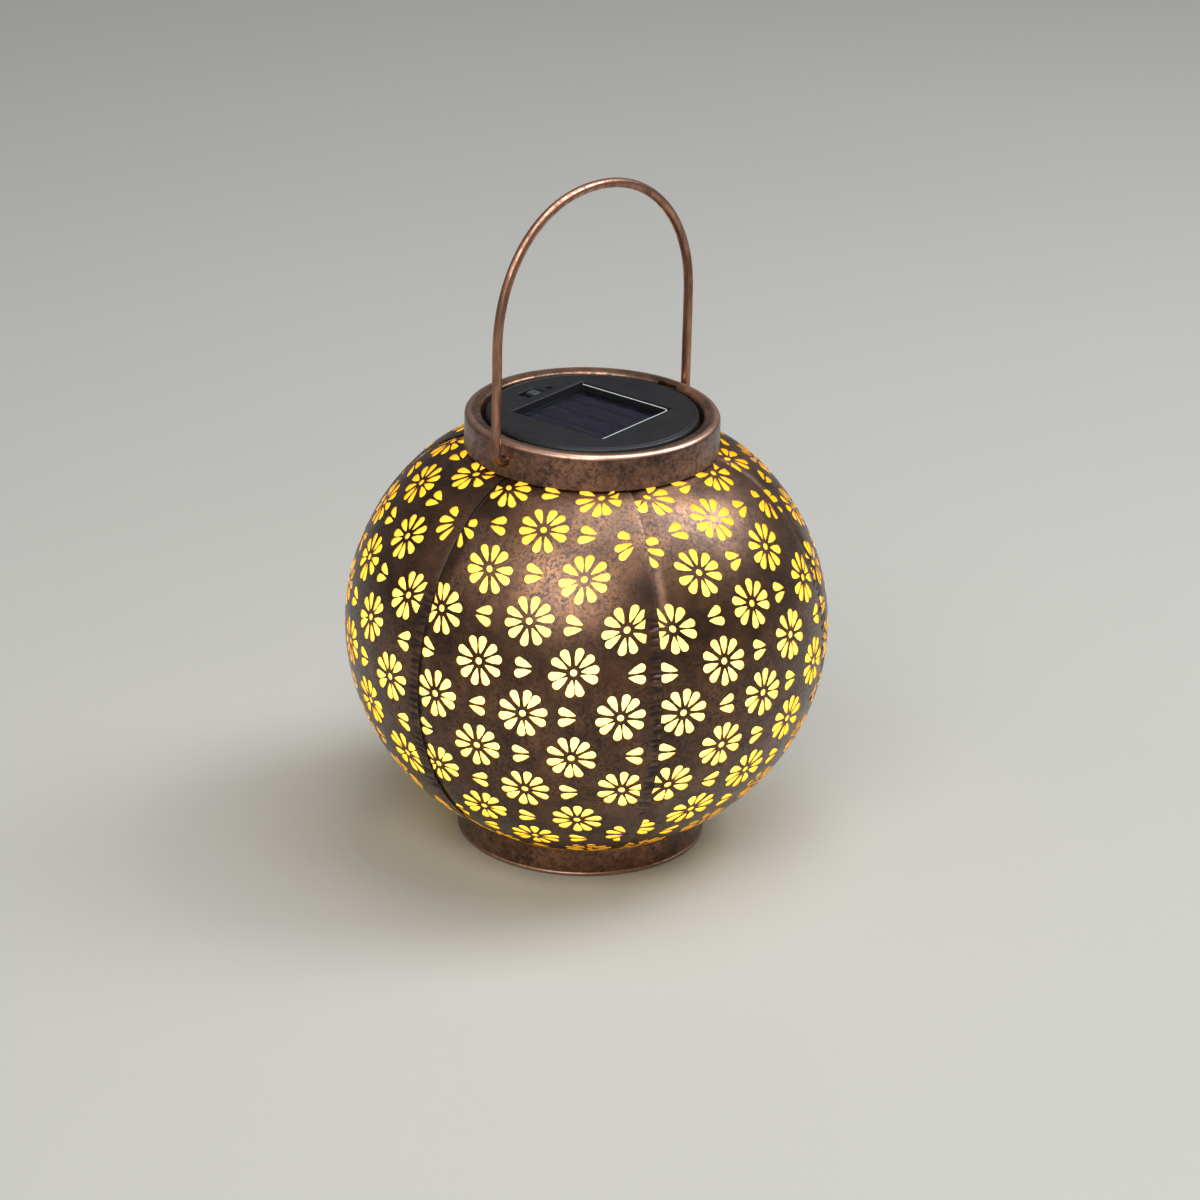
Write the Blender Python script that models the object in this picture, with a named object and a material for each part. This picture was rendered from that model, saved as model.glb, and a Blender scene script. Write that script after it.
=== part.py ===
"""Hanging solar lantern: a six-gore metal globe, a collar, a foot ring, a wire bail and a solar module.

Metres, +Z up. The origin is the centre of the foot ring's bottom face. The bail swings about a line
parallel to X. Run it with Blender's Python: it leaves one object for each separate piece.
"""
import math

import bmesh
import bpy
from mathutils import Matrix, Vector

MM = 0.001

# Clearance left between pieces that touch.
GAP = 0.3 * MM

# The globe: an ellipse turned about Z, with a slightly flattened shoulder under the collar.
GLOBE_RADIUS = 100.0 * MM
GLOBE_POLAR = 94.5 * MM
GLOBE_CENTRE_Z = 93.0 * MM
GLOBE_SHEET = 0.8 * MM
GLOBE_END_RADIUS = 47.0 * MM
SHOULDER_START_RADIUS = 75.0 * MM
SHOULDER_DROP = 3.4 * MM
GORE_COUNT = 6
GORE_ROWS = 14
GORE_COLUMNS = 8
LINER_INSET = 2.3 * MM
LINER_FILM = 0.5 * MM
LINER_ROWS = 12
LINER_SEGMENTS = 36

# The two turned rings that carry the globe.
RING_RADIUS = 52.2 * MM
RING_SHEET = 1.0 * MM
COLLAR_BOTTOM_Z = 171.0 * MM
COLLAR_TOP_Z = 185.75 * MM
COLLAR_LIP_RADIUS = 45.5 * MM
COLLAR_SHELF_RADIUS = 41.0 * MM
COLLAR_SHELF_Z = 175.8 * MM
NOTCH_WIDTH = 10.0 * MM
NOTCH_DEPTH = 3.2 * MM
FOOT_TOP_Z = 11.5 * MM
FOOT_BOTTOM_RADIUS = 51.4 * MM
FOOT_BEAD = 0.4 * MM
PLATE_Z = 8.0 * MM
PLATE_THICKNESS = 1.2 * MM
PLATE_RADIUS = 50.6 * MM

# The bail handle: straight legs and a superelliptic arch, bent by hand a little off centre.
WIRE_RADIUS = 2.0 * MM
PIVOT_Z = 177.4 * MM
LEG_X = 56.9 * MM
LEG_HEIGHT = 46.7 * MM
ARCH_HEIGHT = 57.9 * MM
ARCH_POWER = 2.1
CROWN_OFFSET = -3.9 * MM
HOOK_RADIUS = 4.7 * MM
HOOK_END_X = 48.8 * MM
PIVOT_HOLE_RADIUS = 2.6 * MM

# The solar module, in its own frame, which is turned a little in the collar.
MODULE_TURN = math.radians(4.6)
MODULE_TOP_Z = 185.5 * MM
COVER_RADIUS = 43.5 * MM
COVER_WALL = 2.2 * MM
COVER_TOP = 1.8 * MM
SEAL_HEIGHT = 1.0 * MM
WINDOW_CENTRE = (1.0 * MM, 1.0 * MM)
WINDOW_SIDE = 46.5 * MM
WINDOW_DEPTH = 5.8 * MM
WINDOW_LEDGE = 5.0 * MM
TRAY_WALL = 1.5 * MM
TRAY_FLOOR = 1.0 * MM
CELL_COUNT = 4
CELL_PITCH = 10.9 * MM
CELL_SIZE = (7.4 * MM, 43.0 * MM, 0.2 * MM)
HOUSING_RADIUS = 40.2 * MM
HOUSING_WALL = 1.5 * MM
HOUSING_BOTTOM_Z = 152.0 * MM
HOUSING_TOP_Z = 178.0 * MM
SCREW_CIRCLE = 34.5 * MM
SCREW_ANGLES = (0.0, 180.0, 270.0)
SCREW_HEAD_RADIUS = 2.7 * MM
SCREW_SHANK_RADIUS = 1.2 * MM
SCREW_HEAD_Z = 168.7 * MM
SCREW_HEAD_HEIGHT = 2.0 * MM
SCREW_TIP_Z = 182.0 * MM
BOSS_RADIUS = 3.0 * MM
COLUMN_RADIUS = 4.6 * MM

# The slide switch and the light sensor, beside the window.
SWITCH_CENTRE = (-0.5 * MM, 32.0 * MM)
SWITCH_SLOT = (11.0 * MM, 6.0 * MM)
SWITCH_BODY = (12.0 * MM, 7.0 * MM, 4.6 * MM)
KNOB_SIZE = (4.6 * MM, 4.4 * MM, 1.5 * MM)
KNOB_OFFSET = 2.0 * MM
SENSOR_CENTRE = (9.2 * MM, 30.0 * MM)
SENSOR_HOLE_RADIUS = 1.5 * MM

# The battery compartment and its door.
BATTERY_Y = -17.0 * MM
BATTERY_Z = 161.5 * MM
BATTERY_RADIUS = 7.25 * MM
BATTERY_LENGTH = 50.5 * MM
DOOR_SIZE = (54.0 * MM, 16.0 * MM)
CATCH_SIZE = (10.0 * MM, 1.6 * MM, 1.6 * MM)
CATCH_INSET = 2.5 * MM
CATCH_DROP = 0.1 * MM
CONTACT_X = 29.2 * MM

# The circuit board, which carries the LED over the middle of the globe.
BOARD_SIZE = (46.0 * MM, 20.0 * MM, 1.6 * MM)
BOARD_CENTRE_Y = 6.0 * MM
BOARD_TOP_Z = 161.6 * MM
POST_RADIUS = 2.5 * MM
POST_PLACES = ((-18.0 * MM, 8.0 * MM), (18.0 * MM, 8.0 * MM))
CHIP_SIZE = (5.0 * MM, 4.0 * MM, 1.6 * MM)
CHIP_CENTRE = (-6.0 * MM, 6.0 * MM)
INDUCTOR_RADIUS = 3.5 * MM
INDUCTOR_WAIST = 2.6 * MM
INDUCTOR_HEIGHT = 6.0 * MM
INDUCTOR_CENTRE = (4.0 * MM, 9.0 * MM)
CAPACITOR_RADIUS = 2.5 * MM
CAPACITOR_HEIGHT = 8.0 * MM
CAPACITOR_CENTRE = (13.0 * MM, 6.0 * MM)
LED_RADIUS = 2.5 * MM
LED_HOLE_RADIUS = 3.2 * MM
DOME_RADIUS = 8.2 * MM
DOME_BOTTOM_Z = 144.5 * MM
DOME_WALL = 1.2 * MM
LEAD_RADIUS = 0.6 * MM
PANEL_LEAD_PLACES = ((-11.0 * MM, 12.0 * MM), (-7.5 * MM, 12.0 * MM))

FINE_SEGMENTS = 64
ROUND_SEGMENTS = 48
MEDIUM_SEGMENTS = 28
SMALL_SEGMENTS = 18
CUTTER_MARGIN = 1.0 * MM


# ---------------------------------------------------------------- scene helpers

def clear_scene():
    for old in list(bpy.data.objects):
        bpy.data.objects.remove(old, do_unlink=True)


def make_material(name, colour, roughness, metallic):
    material = bpy.data.materials.new(name)
    material.use_nodes = True
    shader = material.node_tree.nodes["Principled BSDF"]
    shader.inputs["Base Color"].default_value = (*colour, 1.0)
    shader.inputs["Roughness"].default_value = roughness
    shader.inputs["Metallic"].default_value = metallic
    return material


def make_axis(name, location, turn=0.0, parent=None):
    """An empty that marks a joint's axis or a sub-assembly's frame."""
    axis = bpy.data.objects.new(name, None)
    axis.location = location
    axis.rotation_euler = (0.0, 0.0, turn)
    axis.parent = parent
    bpy.context.collection.objects.link(axis)
    return axis


def finish_mesh(name, bm, material, parent=None, location=(0.0, 0.0, 0.0)):
    """Turn a bmesh into a named, smooth-shaded object."""
    bm.normal_update()
    bmesh.ops.recalc_face_normals(bm, faces=bm.faces)
    mesh = bpy.data.meshes.new(name)
    bm.to_mesh(mesh)
    bm.free()
    mesh.shade_smooth()
    mesh.set_sharp_from_angle(angle=math.radians(35.0))
    mesh.materials.append(material)
    piece = bpy.data.objects.new(name, mesh)
    piece.location = location
    piece.parent = parent
    bpy.context.collection.objects.link(piece)
    return piece


def turned(profile, segments):
    """A shape turned about Z from (radius, height) points.

    A profile that starts and ends on the axis makes a solid; any other is closed into a ring.
    """
    bm = bmesh.new()
    rings = []
    for radius, height in profile:
        if radius == 0.0:
            continue
        ring = []
        for step in range(segments):
            angle = math.tau * step / segments
            ring.append(bm.verts.new((radius * math.cos(angle), radius * math.sin(angle), height)))
        rings.append(ring)
    is_solid = profile[0][0] == 0.0
    pairs = list(zip(rings, rings[1:]))
    if is_solid:
        close_end(bm, rings[0], profile[0][1])
        close_end(bm, rings[-1], profile[-1][1])
    else:
        pairs.append((rings[-1], rings[0]))
    for lower, upper in pairs:
        for step in range(segments):
            following = (step + 1) % segments
            bm.faces.new((lower[step], lower[following], upper[following], upper[step]))
    return bm


def close_end(bm, ring, pole_height):
    """Close a turned solid's end: one flat face, or a fan up to its pole."""
    if abs(ring[0].co.z - pole_height) < 0.01 * MM:
        bm.faces.new(ring)
        return
    pole = bm.verts.new((0.0, 0.0, pole_height))
    for step, start in enumerate(ring):
        bm.faces.new((start, ring[(step + 1) % len(ring)], pole))


def block(size, centre, bevel=0.0):
    """A rectangular block, with its edges bevelled where a width is given."""
    bm = bmesh.new()
    bmesh.ops.create_cube(bm, size=1.0)
    for vertex in bm.verts:
        vertex.co = Vector(centre) + Vector(side * length for side, length in zip(vertex.co, size))
    if bevel:
        bmesh.ops.bevel(bm, geom=bm.edges, offset=bevel, segments=1, affect="EDGES")
    return bm


def rod(radius, low, high, centre=(0.0, 0.0), segments=SMALL_SEGMENTS):
    """An upright cylinder between two heights."""
    bm = turned([(0.0, low), (radius, low), (radius, high), (0.0, high)], segments)
    bmesh.ops.translate(bm, verts=bm.verts, vec=(*centre, 0.0))
    return bm


def combine(target, solids, operation, parent=None):
    """Join helper solids, which don't touch each other, to an object, or cut them away from it."""
    joined = solids[0]
    for solid in solids[1:]:
        copy = bpy.data.meshes.new("copy")
        solid.to_mesh(copy)
        solid.free()
        joined.from_mesh(copy)
        bpy.data.meshes.remove(copy)
    helper = finish_mesh(target.name + "_guide", joined, target.data.materials[0], parent)
    helper.hide_render = True
    helper.display_type = "WIRE"
    modifier = target.modifiers.new(operation.lower(), "BOOLEAN")
    modifier.operation = operation
    modifier.solver = "EXACT"
    modifier.object = helper


def make_tube(name, points, radius, material, parent=None, sides=2):
    """A round wire along a list of points, with flat closed ends."""
    curve = bpy.data.curves.new(name, "CURVE")
    curve.dimensions = "3D"
    curve.bevel_depth = radius
    curve.bevel_resolution = sides
    curve.render_resolution_u = 0
    curve.use_fill_caps = True
    spline = curve.splines.new("POLY")
    spline.points.add(len(points) - 1)
    for slot, point in zip(spline.points, points):
        slot.co = (*point, 1.0)
    spline.use_smooth = True
    curve.materials.append(material)
    wire = bpy.data.objects.new(name, curve)
    wire.parent = parent
    bpy.context.collection.objects.link(wire)
    return wire


# ---------------------------------------------------------------- the metal body

def globe_outline(angle):
    """Radius, height and inward normal of the globe's outer face at an angle above the equator."""
    start = math.acos(SHOULDER_START_RADIUS / GLOBE_RADIUS)
    end = math.acos(RING_RADIUS / GLOBE_RADIUS)
    past = max(0.0, (angle - start) / (end - start))
    radius = GLOBE_RADIUS * math.cos(angle)
    height = GLOBE_CENTRE_Z + GLOBE_POLAR * math.sin(angle) - SHOULDER_DROP * past ** 2
    rise = GLOBE_POLAR * math.cos(angle) - 2.0 * SHOULDER_DROP * past / (end - start)
    inward = Vector((-rise, -GLOBE_RADIUS * math.sin(angle))).normalized()
    return radius, height, inward


def make_gore(index, material):
    """One curved panel of the globe, a sixth of the way round."""
    half_width = math.pi / GORE_COUNT
    middle = math.tau * (index + 0.5) / GORE_COUNT
    end_angle = math.acos(GLOBE_END_RADIUS / GLOBE_RADIUS)
    bm = bmesh.new()
    faces = {"outer": [], "inner": []}
    for row in range(GORE_ROWS + 1):
        radius, height, inward = globe_outline(end_angle * (2.0 * row / GORE_ROWS - 1.0))
        edge = half_width - 0.5 * GAP / (radius - GLOBE_SHEET)
        for skin, depth in (("outer", 0.0), ("inner", GLOBE_SHEET)):
            skin_radius = radius + inward.x * depth
            skin_height = height + inward.y * depth
            line = []
            for column in range(GORE_COLUMNS + 1):
                angle = middle + edge * (2.0 * column / GORE_COLUMNS - 1.0)
                place = (skin_radius * math.cos(angle), skin_radius * math.sin(angle), skin_height)
                line.append(bm.verts.new(place))
            faces[skin].append(line)
    for grid in faces.values():
        for low, high in zip(grid, grid[1:]):
            for column in range(GORE_COLUMNS):
                bm.faces.new((low[column], low[column + 1], high[column + 1], high[column]))
    outer = border(faces["outer"])
    inner = border(faces["inner"])
    for step, start in enumerate(outer):
        following = (step + 1) % len(outer)
        bm.faces.new((start, outer[following], inner[following], inner[step]))
    return finish_mesh(f"globe_gore_{index + 1}", bm, material)


def border(grid):
    """The vertices round the edge of a grid, in order."""
    right_side = [line[-1] for line in grid[1:-1]]
    left_side = [line[0] for line in grid[1:-1]]
    return grid[0] + right_side + grid[-1][::-1] + left_side[::-1]


def make_liner(material):
    """The translucent film inside the punched gores, open at both ends."""
    end_angle = math.acos(GLOBE_END_RADIUS / GLOBE_RADIUS)
    skins = []
    for depth in (LINER_INSET, LINER_INSET + LINER_FILM):
        skin = []
        for row in range(LINER_ROWS + 1):
            radius, height, inward = globe_outline(end_angle * (2.0 * row / LINER_ROWS - 1.0))
            skin.append((radius + inward.x * depth, height + inward.y * depth))
        skins.append(skin)
    outer, inner = skins
    return finish_mesh("globe_liner", turned(outer + inner[::-1], LINER_SEGMENTS), material)


def make_collar(material):
    """The top ring: outer wall, rolled rim, inner lip and the shelf that carries the module."""
    wall = RING_RADIUS - RING_SHEET
    lip = COLLAR_LIP_RADIUS
    back = COLLAR_LIP_RADIUS + RING_SHEET
    top = COLLAR_TOP_Z
    shelf = COLLAR_SHELF_Z
    profile = [
        (RING_RADIUS, COLLAR_BOTTOM_Z),
        (RING_RADIUS, top - 2.2 * MM),
        (RING_RADIUS - 0.6 * MM, top - 0.7 * MM),
        (RING_RADIUS - 2.2 * MM, top),
        (back, top - 0.4 * MM),
        (lip, top - 1.3 * MM),
        (lip, shelf),
        (COLLAR_SHELF_RADIUS, shelf),
        (COLLAR_SHELF_RADIUS, shelf - RING_SHEET),
        (back, shelf - RING_SHEET),
        (back, top - 2.0 * MM),
        (RING_RADIUS - 2.2 * MM, top - 1.1 * MM),
        (wall, top - 2.4 * MM),
        (wall, COLLAR_BOTTOM_Z),
    ]
    collar = finish_mesh("top_collar", turned(profile, FINE_SEGMENTS), material)
    cutters = []
    for side in (-1.0, 1.0):
        hole = rod(PIVOT_HOLE_RADIUS, HOOK_END_X, RING_RADIUS + CUTTER_MARGIN)
        for vertex in hole.verts:
            vertex.co = (side * vertex.co.z, vertex.co.y, PIVOT_Z + vertex.co.x)
        cutters.append(hole)
        reach = back - lip + 2.0 * CUTTER_MARGIN
        notch_size = (reach, NOTCH_WIDTH, NOTCH_DEPTH + CUTTER_MARGIN)
        notch_centre = (side * (lip + 0.1 * MM), 0.0, top + 0.5 * (CUTTER_MARGIN - NOTCH_DEPTH))
        cutters.append(block(notch_size, notch_centre))
    combine(collar, cutters, "DIFFERENCE")
    return collar


def make_foot(material):
    """The foot ring, with a flat resting face and a small rolled bead round its bottom edge."""
    low = FOOT_BOTTOM_RADIUS
    inner_top = RING_RADIUS - RING_SHEET
    profile = [
        (low - RING_SHEET, 0.0),
        (low + FOOT_BEAD, 0.0),
        (low + 1.5 * FOOT_BEAD, 0.7 * MM),
        (low + FOOT_BEAD, 1.4 * MM),
        (low, 1.8 * MM),
        (RING_RADIUS, FOOT_TOP_Z + 0.5 * MM),
        (inner_top, FOOT_TOP_Z),
        (low - RING_SHEET, 1.8 * MM),
    ]
    return finish_mesh("foot_ring", turned(profile, FINE_SEGMENTS), material)


def make_bottom_plate(material):
    plate = rod(PLATE_RADIUS, PLATE_Z, PLATE_Z + PLATE_THICKNESS, segments=FINE_SEGMENTS)
    return finish_mesh("bottom_plate", plate, material)


def handle_route():
    """The bail's centre line in its own frame: hook, leg, arch, leg, hook."""
    hook_steps = 5
    leg_steps = 4
    arch_steps = 32
    side = [(HOOK_END_X, 0.0)]
    for step in range(hook_steps + 1):
        angle = 0.5 * math.pi * step / hook_steps
        across = LEG_X - HOOK_RADIUS * (1.0 - math.sin(angle))
        side.append((across, HOOK_RADIUS * (1.0 - math.cos(angle))))
    for step in range(1, leg_steps):
        side.append((LEG_X, HOOK_RADIUS + (LEG_HEIGHT - HOOK_RADIUS) * step / leg_steps))
    arch = []
    for step in range(arch_steps + 1):
        angle = math.pi * step / arch_steps
        across = abs(math.cos(angle)) ** (2.0 / ARCH_POWER) * LEG_X
        arch.append((math.copysign(across, math.cos(angle)),
                     LEG_HEIGHT + ARCH_HEIGHT * abs(math.sin(angle)) ** (2.0 / ARCH_POWER)))
    outline = side + arch + [(-across, height) for across, height in reversed(side)]
    total = LEG_HEIGHT + ARCH_HEIGHT
    return [(across + CROWN_OFFSET * (height / total) ** 3, 0.0, height) for across, height in outline]


# ---------------------------------------------------------------- the solar module

def screw_places():
    for angle in SCREW_ANGLES:
        turn = math.radians(angle)
        yield SCREW_CIRCLE * math.cos(turn), SCREW_CIRCLE * math.sin(turn)


def window_cutter(low, ledge, high):
    """The stepped square hole for the panel: full width above the ledge, smaller below it."""
    corner = math.sqrt(0.5) * WINDOW_SIDE
    small = corner - math.sqrt(2.0) * WINDOW_LEDGE
    bm = turned([(0.0, low), (small, low), (small, ledge), (corner, ledge), (corner, high), (0.0, high)], 4)
    bmesh.ops.rotate(bm, verts=bm.verts, matrix=Matrix.Rotation(0.25 * math.pi, 3, "Z"))
    bmesh.ops.translate(bm, verts=bm.verts, vec=(*WINDOW_CENTRE, 0.0))
    return bm


def make_cover(material, frame):
    """The round black top: a shallow cap with a window tray, a switch slot and a sensor hole."""
    top = MODULE_TOP_Z
    low = COLLAR_SHELF_Z + SEAL_HEIGHT + 2.0 * GAP
    ceiling = top - COVER_TOP
    inner = COVER_RADIUS - COVER_WALL
    profile = [(0.0, ceiling), (inner, ceiling), (inner, low), (COVER_RADIUS, low),
               (COVER_RADIUS, top - 1.0 * MM), (COVER_RADIUS - 1.0 * MM, top), (0.0, top)]
    cover = finish_mesh("module_cover", turned(profile, FINE_SEGMENTS), material, frame)
    floor = top - WINDOW_DEPTH
    tray_side = WINDOW_SIDE + 2.0 * TRAY_WALL
    tray_low = floor - TRAY_FLOOR
    tray_high = ceiling + 0.5 * COVER_TOP
    tray_middle = 0.5 * (tray_high + tray_low)
    tray = block((tray_side, tray_side, tray_high - tray_low), (*WINDOW_CENTRE, tray_middle))
    boss_low = HOUSING_TOP_Z + 2.0 * GAP
    bosses = [rod(BOSS_RADIUS, boss_low, tray_high, place) for place in screw_places()]
    combine(cover, [tray] + bosses, "UNION", frame)
    pilot_radius = SCREW_SHANK_RADIUS + GAP
    pilot_low = HOUSING_TOP_Z - CUTTER_MARGIN
    cutters = [rod(pilot_radius, pilot_low, SCREW_TIP_Z + 2.0 * GAP, place) for place in screw_places()]
    cutters.append(window_cutter(tray_low - CUTTER_MARGIN, floor, top + CUTTER_MARGIN))
    cutters.append(block((*SWITCH_SLOT, 4.0 * COVER_TOP), (*SWITCH_CENTRE, top)))
    cutters.append(rod(SENSOR_HOLE_RADIUS, ceiling - CUTTER_MARGIN, top + CUTTER_MARGIN, SENSOR_CENTRE))
    combine(cover, cutters, "DIFFERENCE", frame)
    return cover


def make_seal(material, frame):
    """The flat rubber ring between the cover and the collar's shelf."""
    low = COLLAR_SHELF_Z + GAP
    outer = COVER_RADIUS - 0.2 * MM
    inner = COLLAR_SHELF_RADIUS + 0.8 * MM
    profile = [(inner, low), (outer, low), (outer, low + SEAL_HEIGHT), (inner, low + SEAL_HEIGHT)]
    return finish_mesh("sealing_ring", turned(profile, ROUND_SEGMENTS), material, frame)


def make_panel(board_material, cell_material, resin_material, frame):
    """The solar panel: backing board, four cell strips and the clear face over them."""
    side = WINDOW_SIDE - 3.0 * GAP
    centre_x, centre_y = WINDOW_CENTRE
    board_low = MODULE_TOP_Z - WINDOW_DEPTH + GAP
    board_height = 0.9 * MM
    board = block((side, side, board_height), (centre_x, centre_y, board_low + 0.5 * board_height))
    finish_mesh("panel_board", board, board_material, frame)
    cell_low = board_low + board_height + GAP
    for index in range(CELL_COUNT):
        x = centre_x + (index - 0.5 * (CELL_COUNT - 1)) * CELL_PITCH
        cell = block(CELL_SIZE, (x, centre_y, cell_low + 0.5 * CELL_SIZE[2]))
        finish_mesh(f"cell_strip_{index + 1}", cell, cell_material, frame)
    resin_low = cell_low + CELL_SIZE[2] + GAP
    resin_height = 0.4 * MM
    resin = block((side, side, resin_height), (centre_x, centre_y, resin_low + 0.5 * resin_height))
    finish_mesh("panel_resin", resin, resin_material, frame)


def screw_hole(place):
    """The stepped hole for a housing screw: a deep counterbore for its head, then its shank's hole."""
    low = HOUSING_BOTTOM_Z - CUTTER_MARGIN
    high = HOUSING_TOP_Z + CUTTER_MARGIN
    head = SCREW_HEAD_RADIUS + GAP
    shank = SCREW_SHANK_RADIUS + GAP
    head_top = SCREW_HEAD_Z + SCREW_HEAD_HEIGHT + GAP
    bm = turned([(0.0, low), (head, low), (head, head_top), (shank, head_top), (shank, high), (0.0, high)],
                SMALL_SEGMENTS)
    bmesh.ops.translate(bm, verts=bm.verts, vec=(*place, 0.0))
    return bm


def make_housing(material, frame):
    """The battery housing: a cup with screw columns, board posts, a door opening and an LED hole."""
    bottom = HOUSING_BOTTOM_Z
    floor = bottom + HOUSING_WALL
    inner = HOUSING_RADIUS - HOUSING_WALL
    profile = [(0.0, bottom), (HOUSING_RADIUS - 1.0 * MM, bottom), (HOUSING_RADIUS, bottom + 1.0 * MM),
               (HOUSING_RADIUS, HOUSING_TOP_Z), (inner, HOUSING_TOP_Z), (inner, floor), (0.0, floor)]
    housing = finish_mesh("battery_housing", turned(profile, ROUND_SEGMENTS), material, frame)
    sunk = 0.5 * HOUSING_WALL
    foot = bottom + sunk
    post_top = BOARD_TOP_Z - BOARD_SIZE[2] - GAP
    additions = [rod(COLUMN_RADIUS, foot, HOUSING_TOP_Z - GAP, place) for place in screw_places()]
    additions += [rod(POST_RADIUS, foot, post_top, place) for place in POST_PLACES]
    combine(housing, additions, "UNION", frame)
    opening_size = (DOOR_SIZE[0] + 2.0 * GAP, DOOR_SIZE[1] + 2.0 * GAP, 4.0 * HOUSING_WALL)
    cutters = [screw_hole(place) for place in screw_places()]
    cutters.append(block(opening_size, (0.0, BATTERY_Y, bottom)))
    cutters.append(rod(LED_HOLE_RADIUS, bottom - CUTTER_MARGIN, floor + CUTTER_MARGIN))
    combine(housing, cutters, "DIFFERENCE", frame)
    return housing


def make_battery_door(material, frame):
    """The flap under the battery. Its origin is on its moulded hinge, at its inner lower edge."""
    length, width = DOOR_SIZE
    hinge = (0.0, BATTERY_Y + 0.5 * width, HOUSING_BOTTOM_Z)
    axis = make_axis("battery_door_axis", hinge, parent=frame)
    plate = block((length, width, HOUSING_WALL), (0.0, -0.5 * width, 0.5 * HOUSING_WALL))
    door = finish_mesh("battery_door", plate, material, axis)
    catch = block(CATCH_SIZE, (0.0, -width + CATCH_INSET, -CATCH_DROP))
    combine(door, [catch], "UNION", axis)
    return door


def make_screws(material, frame):
    for index, place in enumerate(screw_places()):
        head_top = SCREW_HEAD_Z + SCREW_HEAD_HEIGHT
        profile = [(0.0, SCREW_HEAD_Z), (SCREW_HEAD_RADIUS, SCREW_HEAD_Z), (SCREW_HEAD_RADIUS, head_top),
                   (SCREW_SHANK_RADIUS, head_top), (SCREW_SHANK_RADIUS, SCREW_TIP_Z - SCREW_SHANK_RADIUS),
                   (0.0, SCREW_TIP_Z)]
        bm = turned(profile, SMALL_SEGMENTS)
        bmesh.ops.translate(bm, verts=bm.verts, vec=(*place, 0.0))
        screw = finish_mesh(f"housing_screw_{index + 1}", bm, material, frame)
        recess_height = 1.2 * MM
        slot = block((0.8 * MM, 3.6 * MM, 2.0 * recess_height), (*place, SCREW_HEAD_Z))
        combine(screw, [slot], "DIFFERENCE", frame)


def make_battery(material, frame):
    """One AA cell lying along X, with its raised positive end at +X."""
    half = 0.5 * BATTERY_LENGTH
    nub = 1.2 * MM
    profile = [(0.0, -half), (BATTERY_RADIUS - 0.6 * MM, -half), (BATTERY_RADIUS, -half + 0.6 * MM),
               (BATTERY_RADIUS, half - nub - 0.6 * MM), (BATTERY_RADIUS - 0.6 * MM, half - nub),
               (2.6 * MM, half - nub), (2.6 * MM, half), (0.0, half)]
    bm = turned(profile, MEDIUM_SEGMENTS)
    for vertex in bm.verts:
        vertex.co = (vertex.co.z, vertex.co.y + BATTERY_Y, vertex.co.x + BATTERY_Z)
    return finish_mesh("battery_cell", bm, material, frame)


def make_contacts(material, frame):
    """The two contact plates, and the conical coil spring at the cell's negative end."""
    thickness = 0.5 * MM
    plate_size = (thickness, 10.0 * MM, 11.0 * MM)
    for name, side, x in (("contact_plate_negative", -1.0, CONTACT_X),
                          ("contact_plate_positive", 1.0, 0.5 * BATTERY_LENGTH + GAP)):
        centre = (side * (x + 0.5 * thickness), BATTERY_Y, BATTERY_Z)
        finish_mesh(name, block(plate_size, centre), material, frame)
    turns = 3
    steps_per_turn = 9
    wire = 0.35 * MM
    start = -CONTACT_X + GAP + wire
    end = -0.5 * BATTERY_LENGTH - GAP - wire
    points = []
    for step in range(turns * steps_per_turn + 1):
        share = step / (turns * steps_per_turn)
        radius = (4.2 - 1.8 * share) * MM
        angle = math.tau * step / steps_per_turn
        points.append((start + (end - start) * share, BATTERY_Y + radius * math.cos(angle),
                       BATTERY_Z + radius * math.sin(angle)))
    make_tube("contact_spring", points, wire, material, frame)


def make_circuit(materials, frame):
    """The circuit board and what is soldered to it."""
    board_centre = (0.0, BOARD_CENTRE_Y, BOARD_TOP_Z - 0.5 * BOARD_SIZE[2])
    finish_mesh("circuit_board", block(BOARD_SIZE, board_centre), materials["board"], frame)
    seat = BOARD_TOP_Z + GAP
    chip = block(CHIP_SIZE, (*CHIP_CENTRE, seat + 0.5 * CHIP_SIZE[2]))
    finish_mesh("driver_chip", chip, materials["black"], frame)
    finish_mesh("inductor", inductor_shape(seat), materials["black"], frame)
    capacitor = rod(CAPACITOR_RADIUS, seat, seat + CAPACITOR_HEIGHT, CAPACITOR_CENTRE)
    finish_mesh("capacitor", capacitor, materials["metal"], frame)


def inductor_shape(seat):
    """A ferrite drum: two flanges with a waist for the winding."""
    flange = 0.2 * INDUCTOR_HEIGHT
    waist = 0.3 * INDUCTOR_HEIGHT
    top = seat + INDUCTOR_HEIGHT
    profile = [
        (0.0, seat),
        (INDUCTOR_RADIUS, seat),
        (INDUCTOR_RADIUS, seat + flange),
        (INDUCTOR_WAIST, seat + waist),
        (INDUCTOR_WAIST, top - waist),
        (INDUCTOR_RADIUS, top - flange),
        (INDUCTOR_RADIUS, top),
        (0.0, top),
    ]
    drum = turned(profile, SMALL_SEGMENTS)
    bmesh.ops.translate(drum, verts=drum.verts, vec=(*INDUCTOR_CENTRE, 0.0))
    return drum


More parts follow.
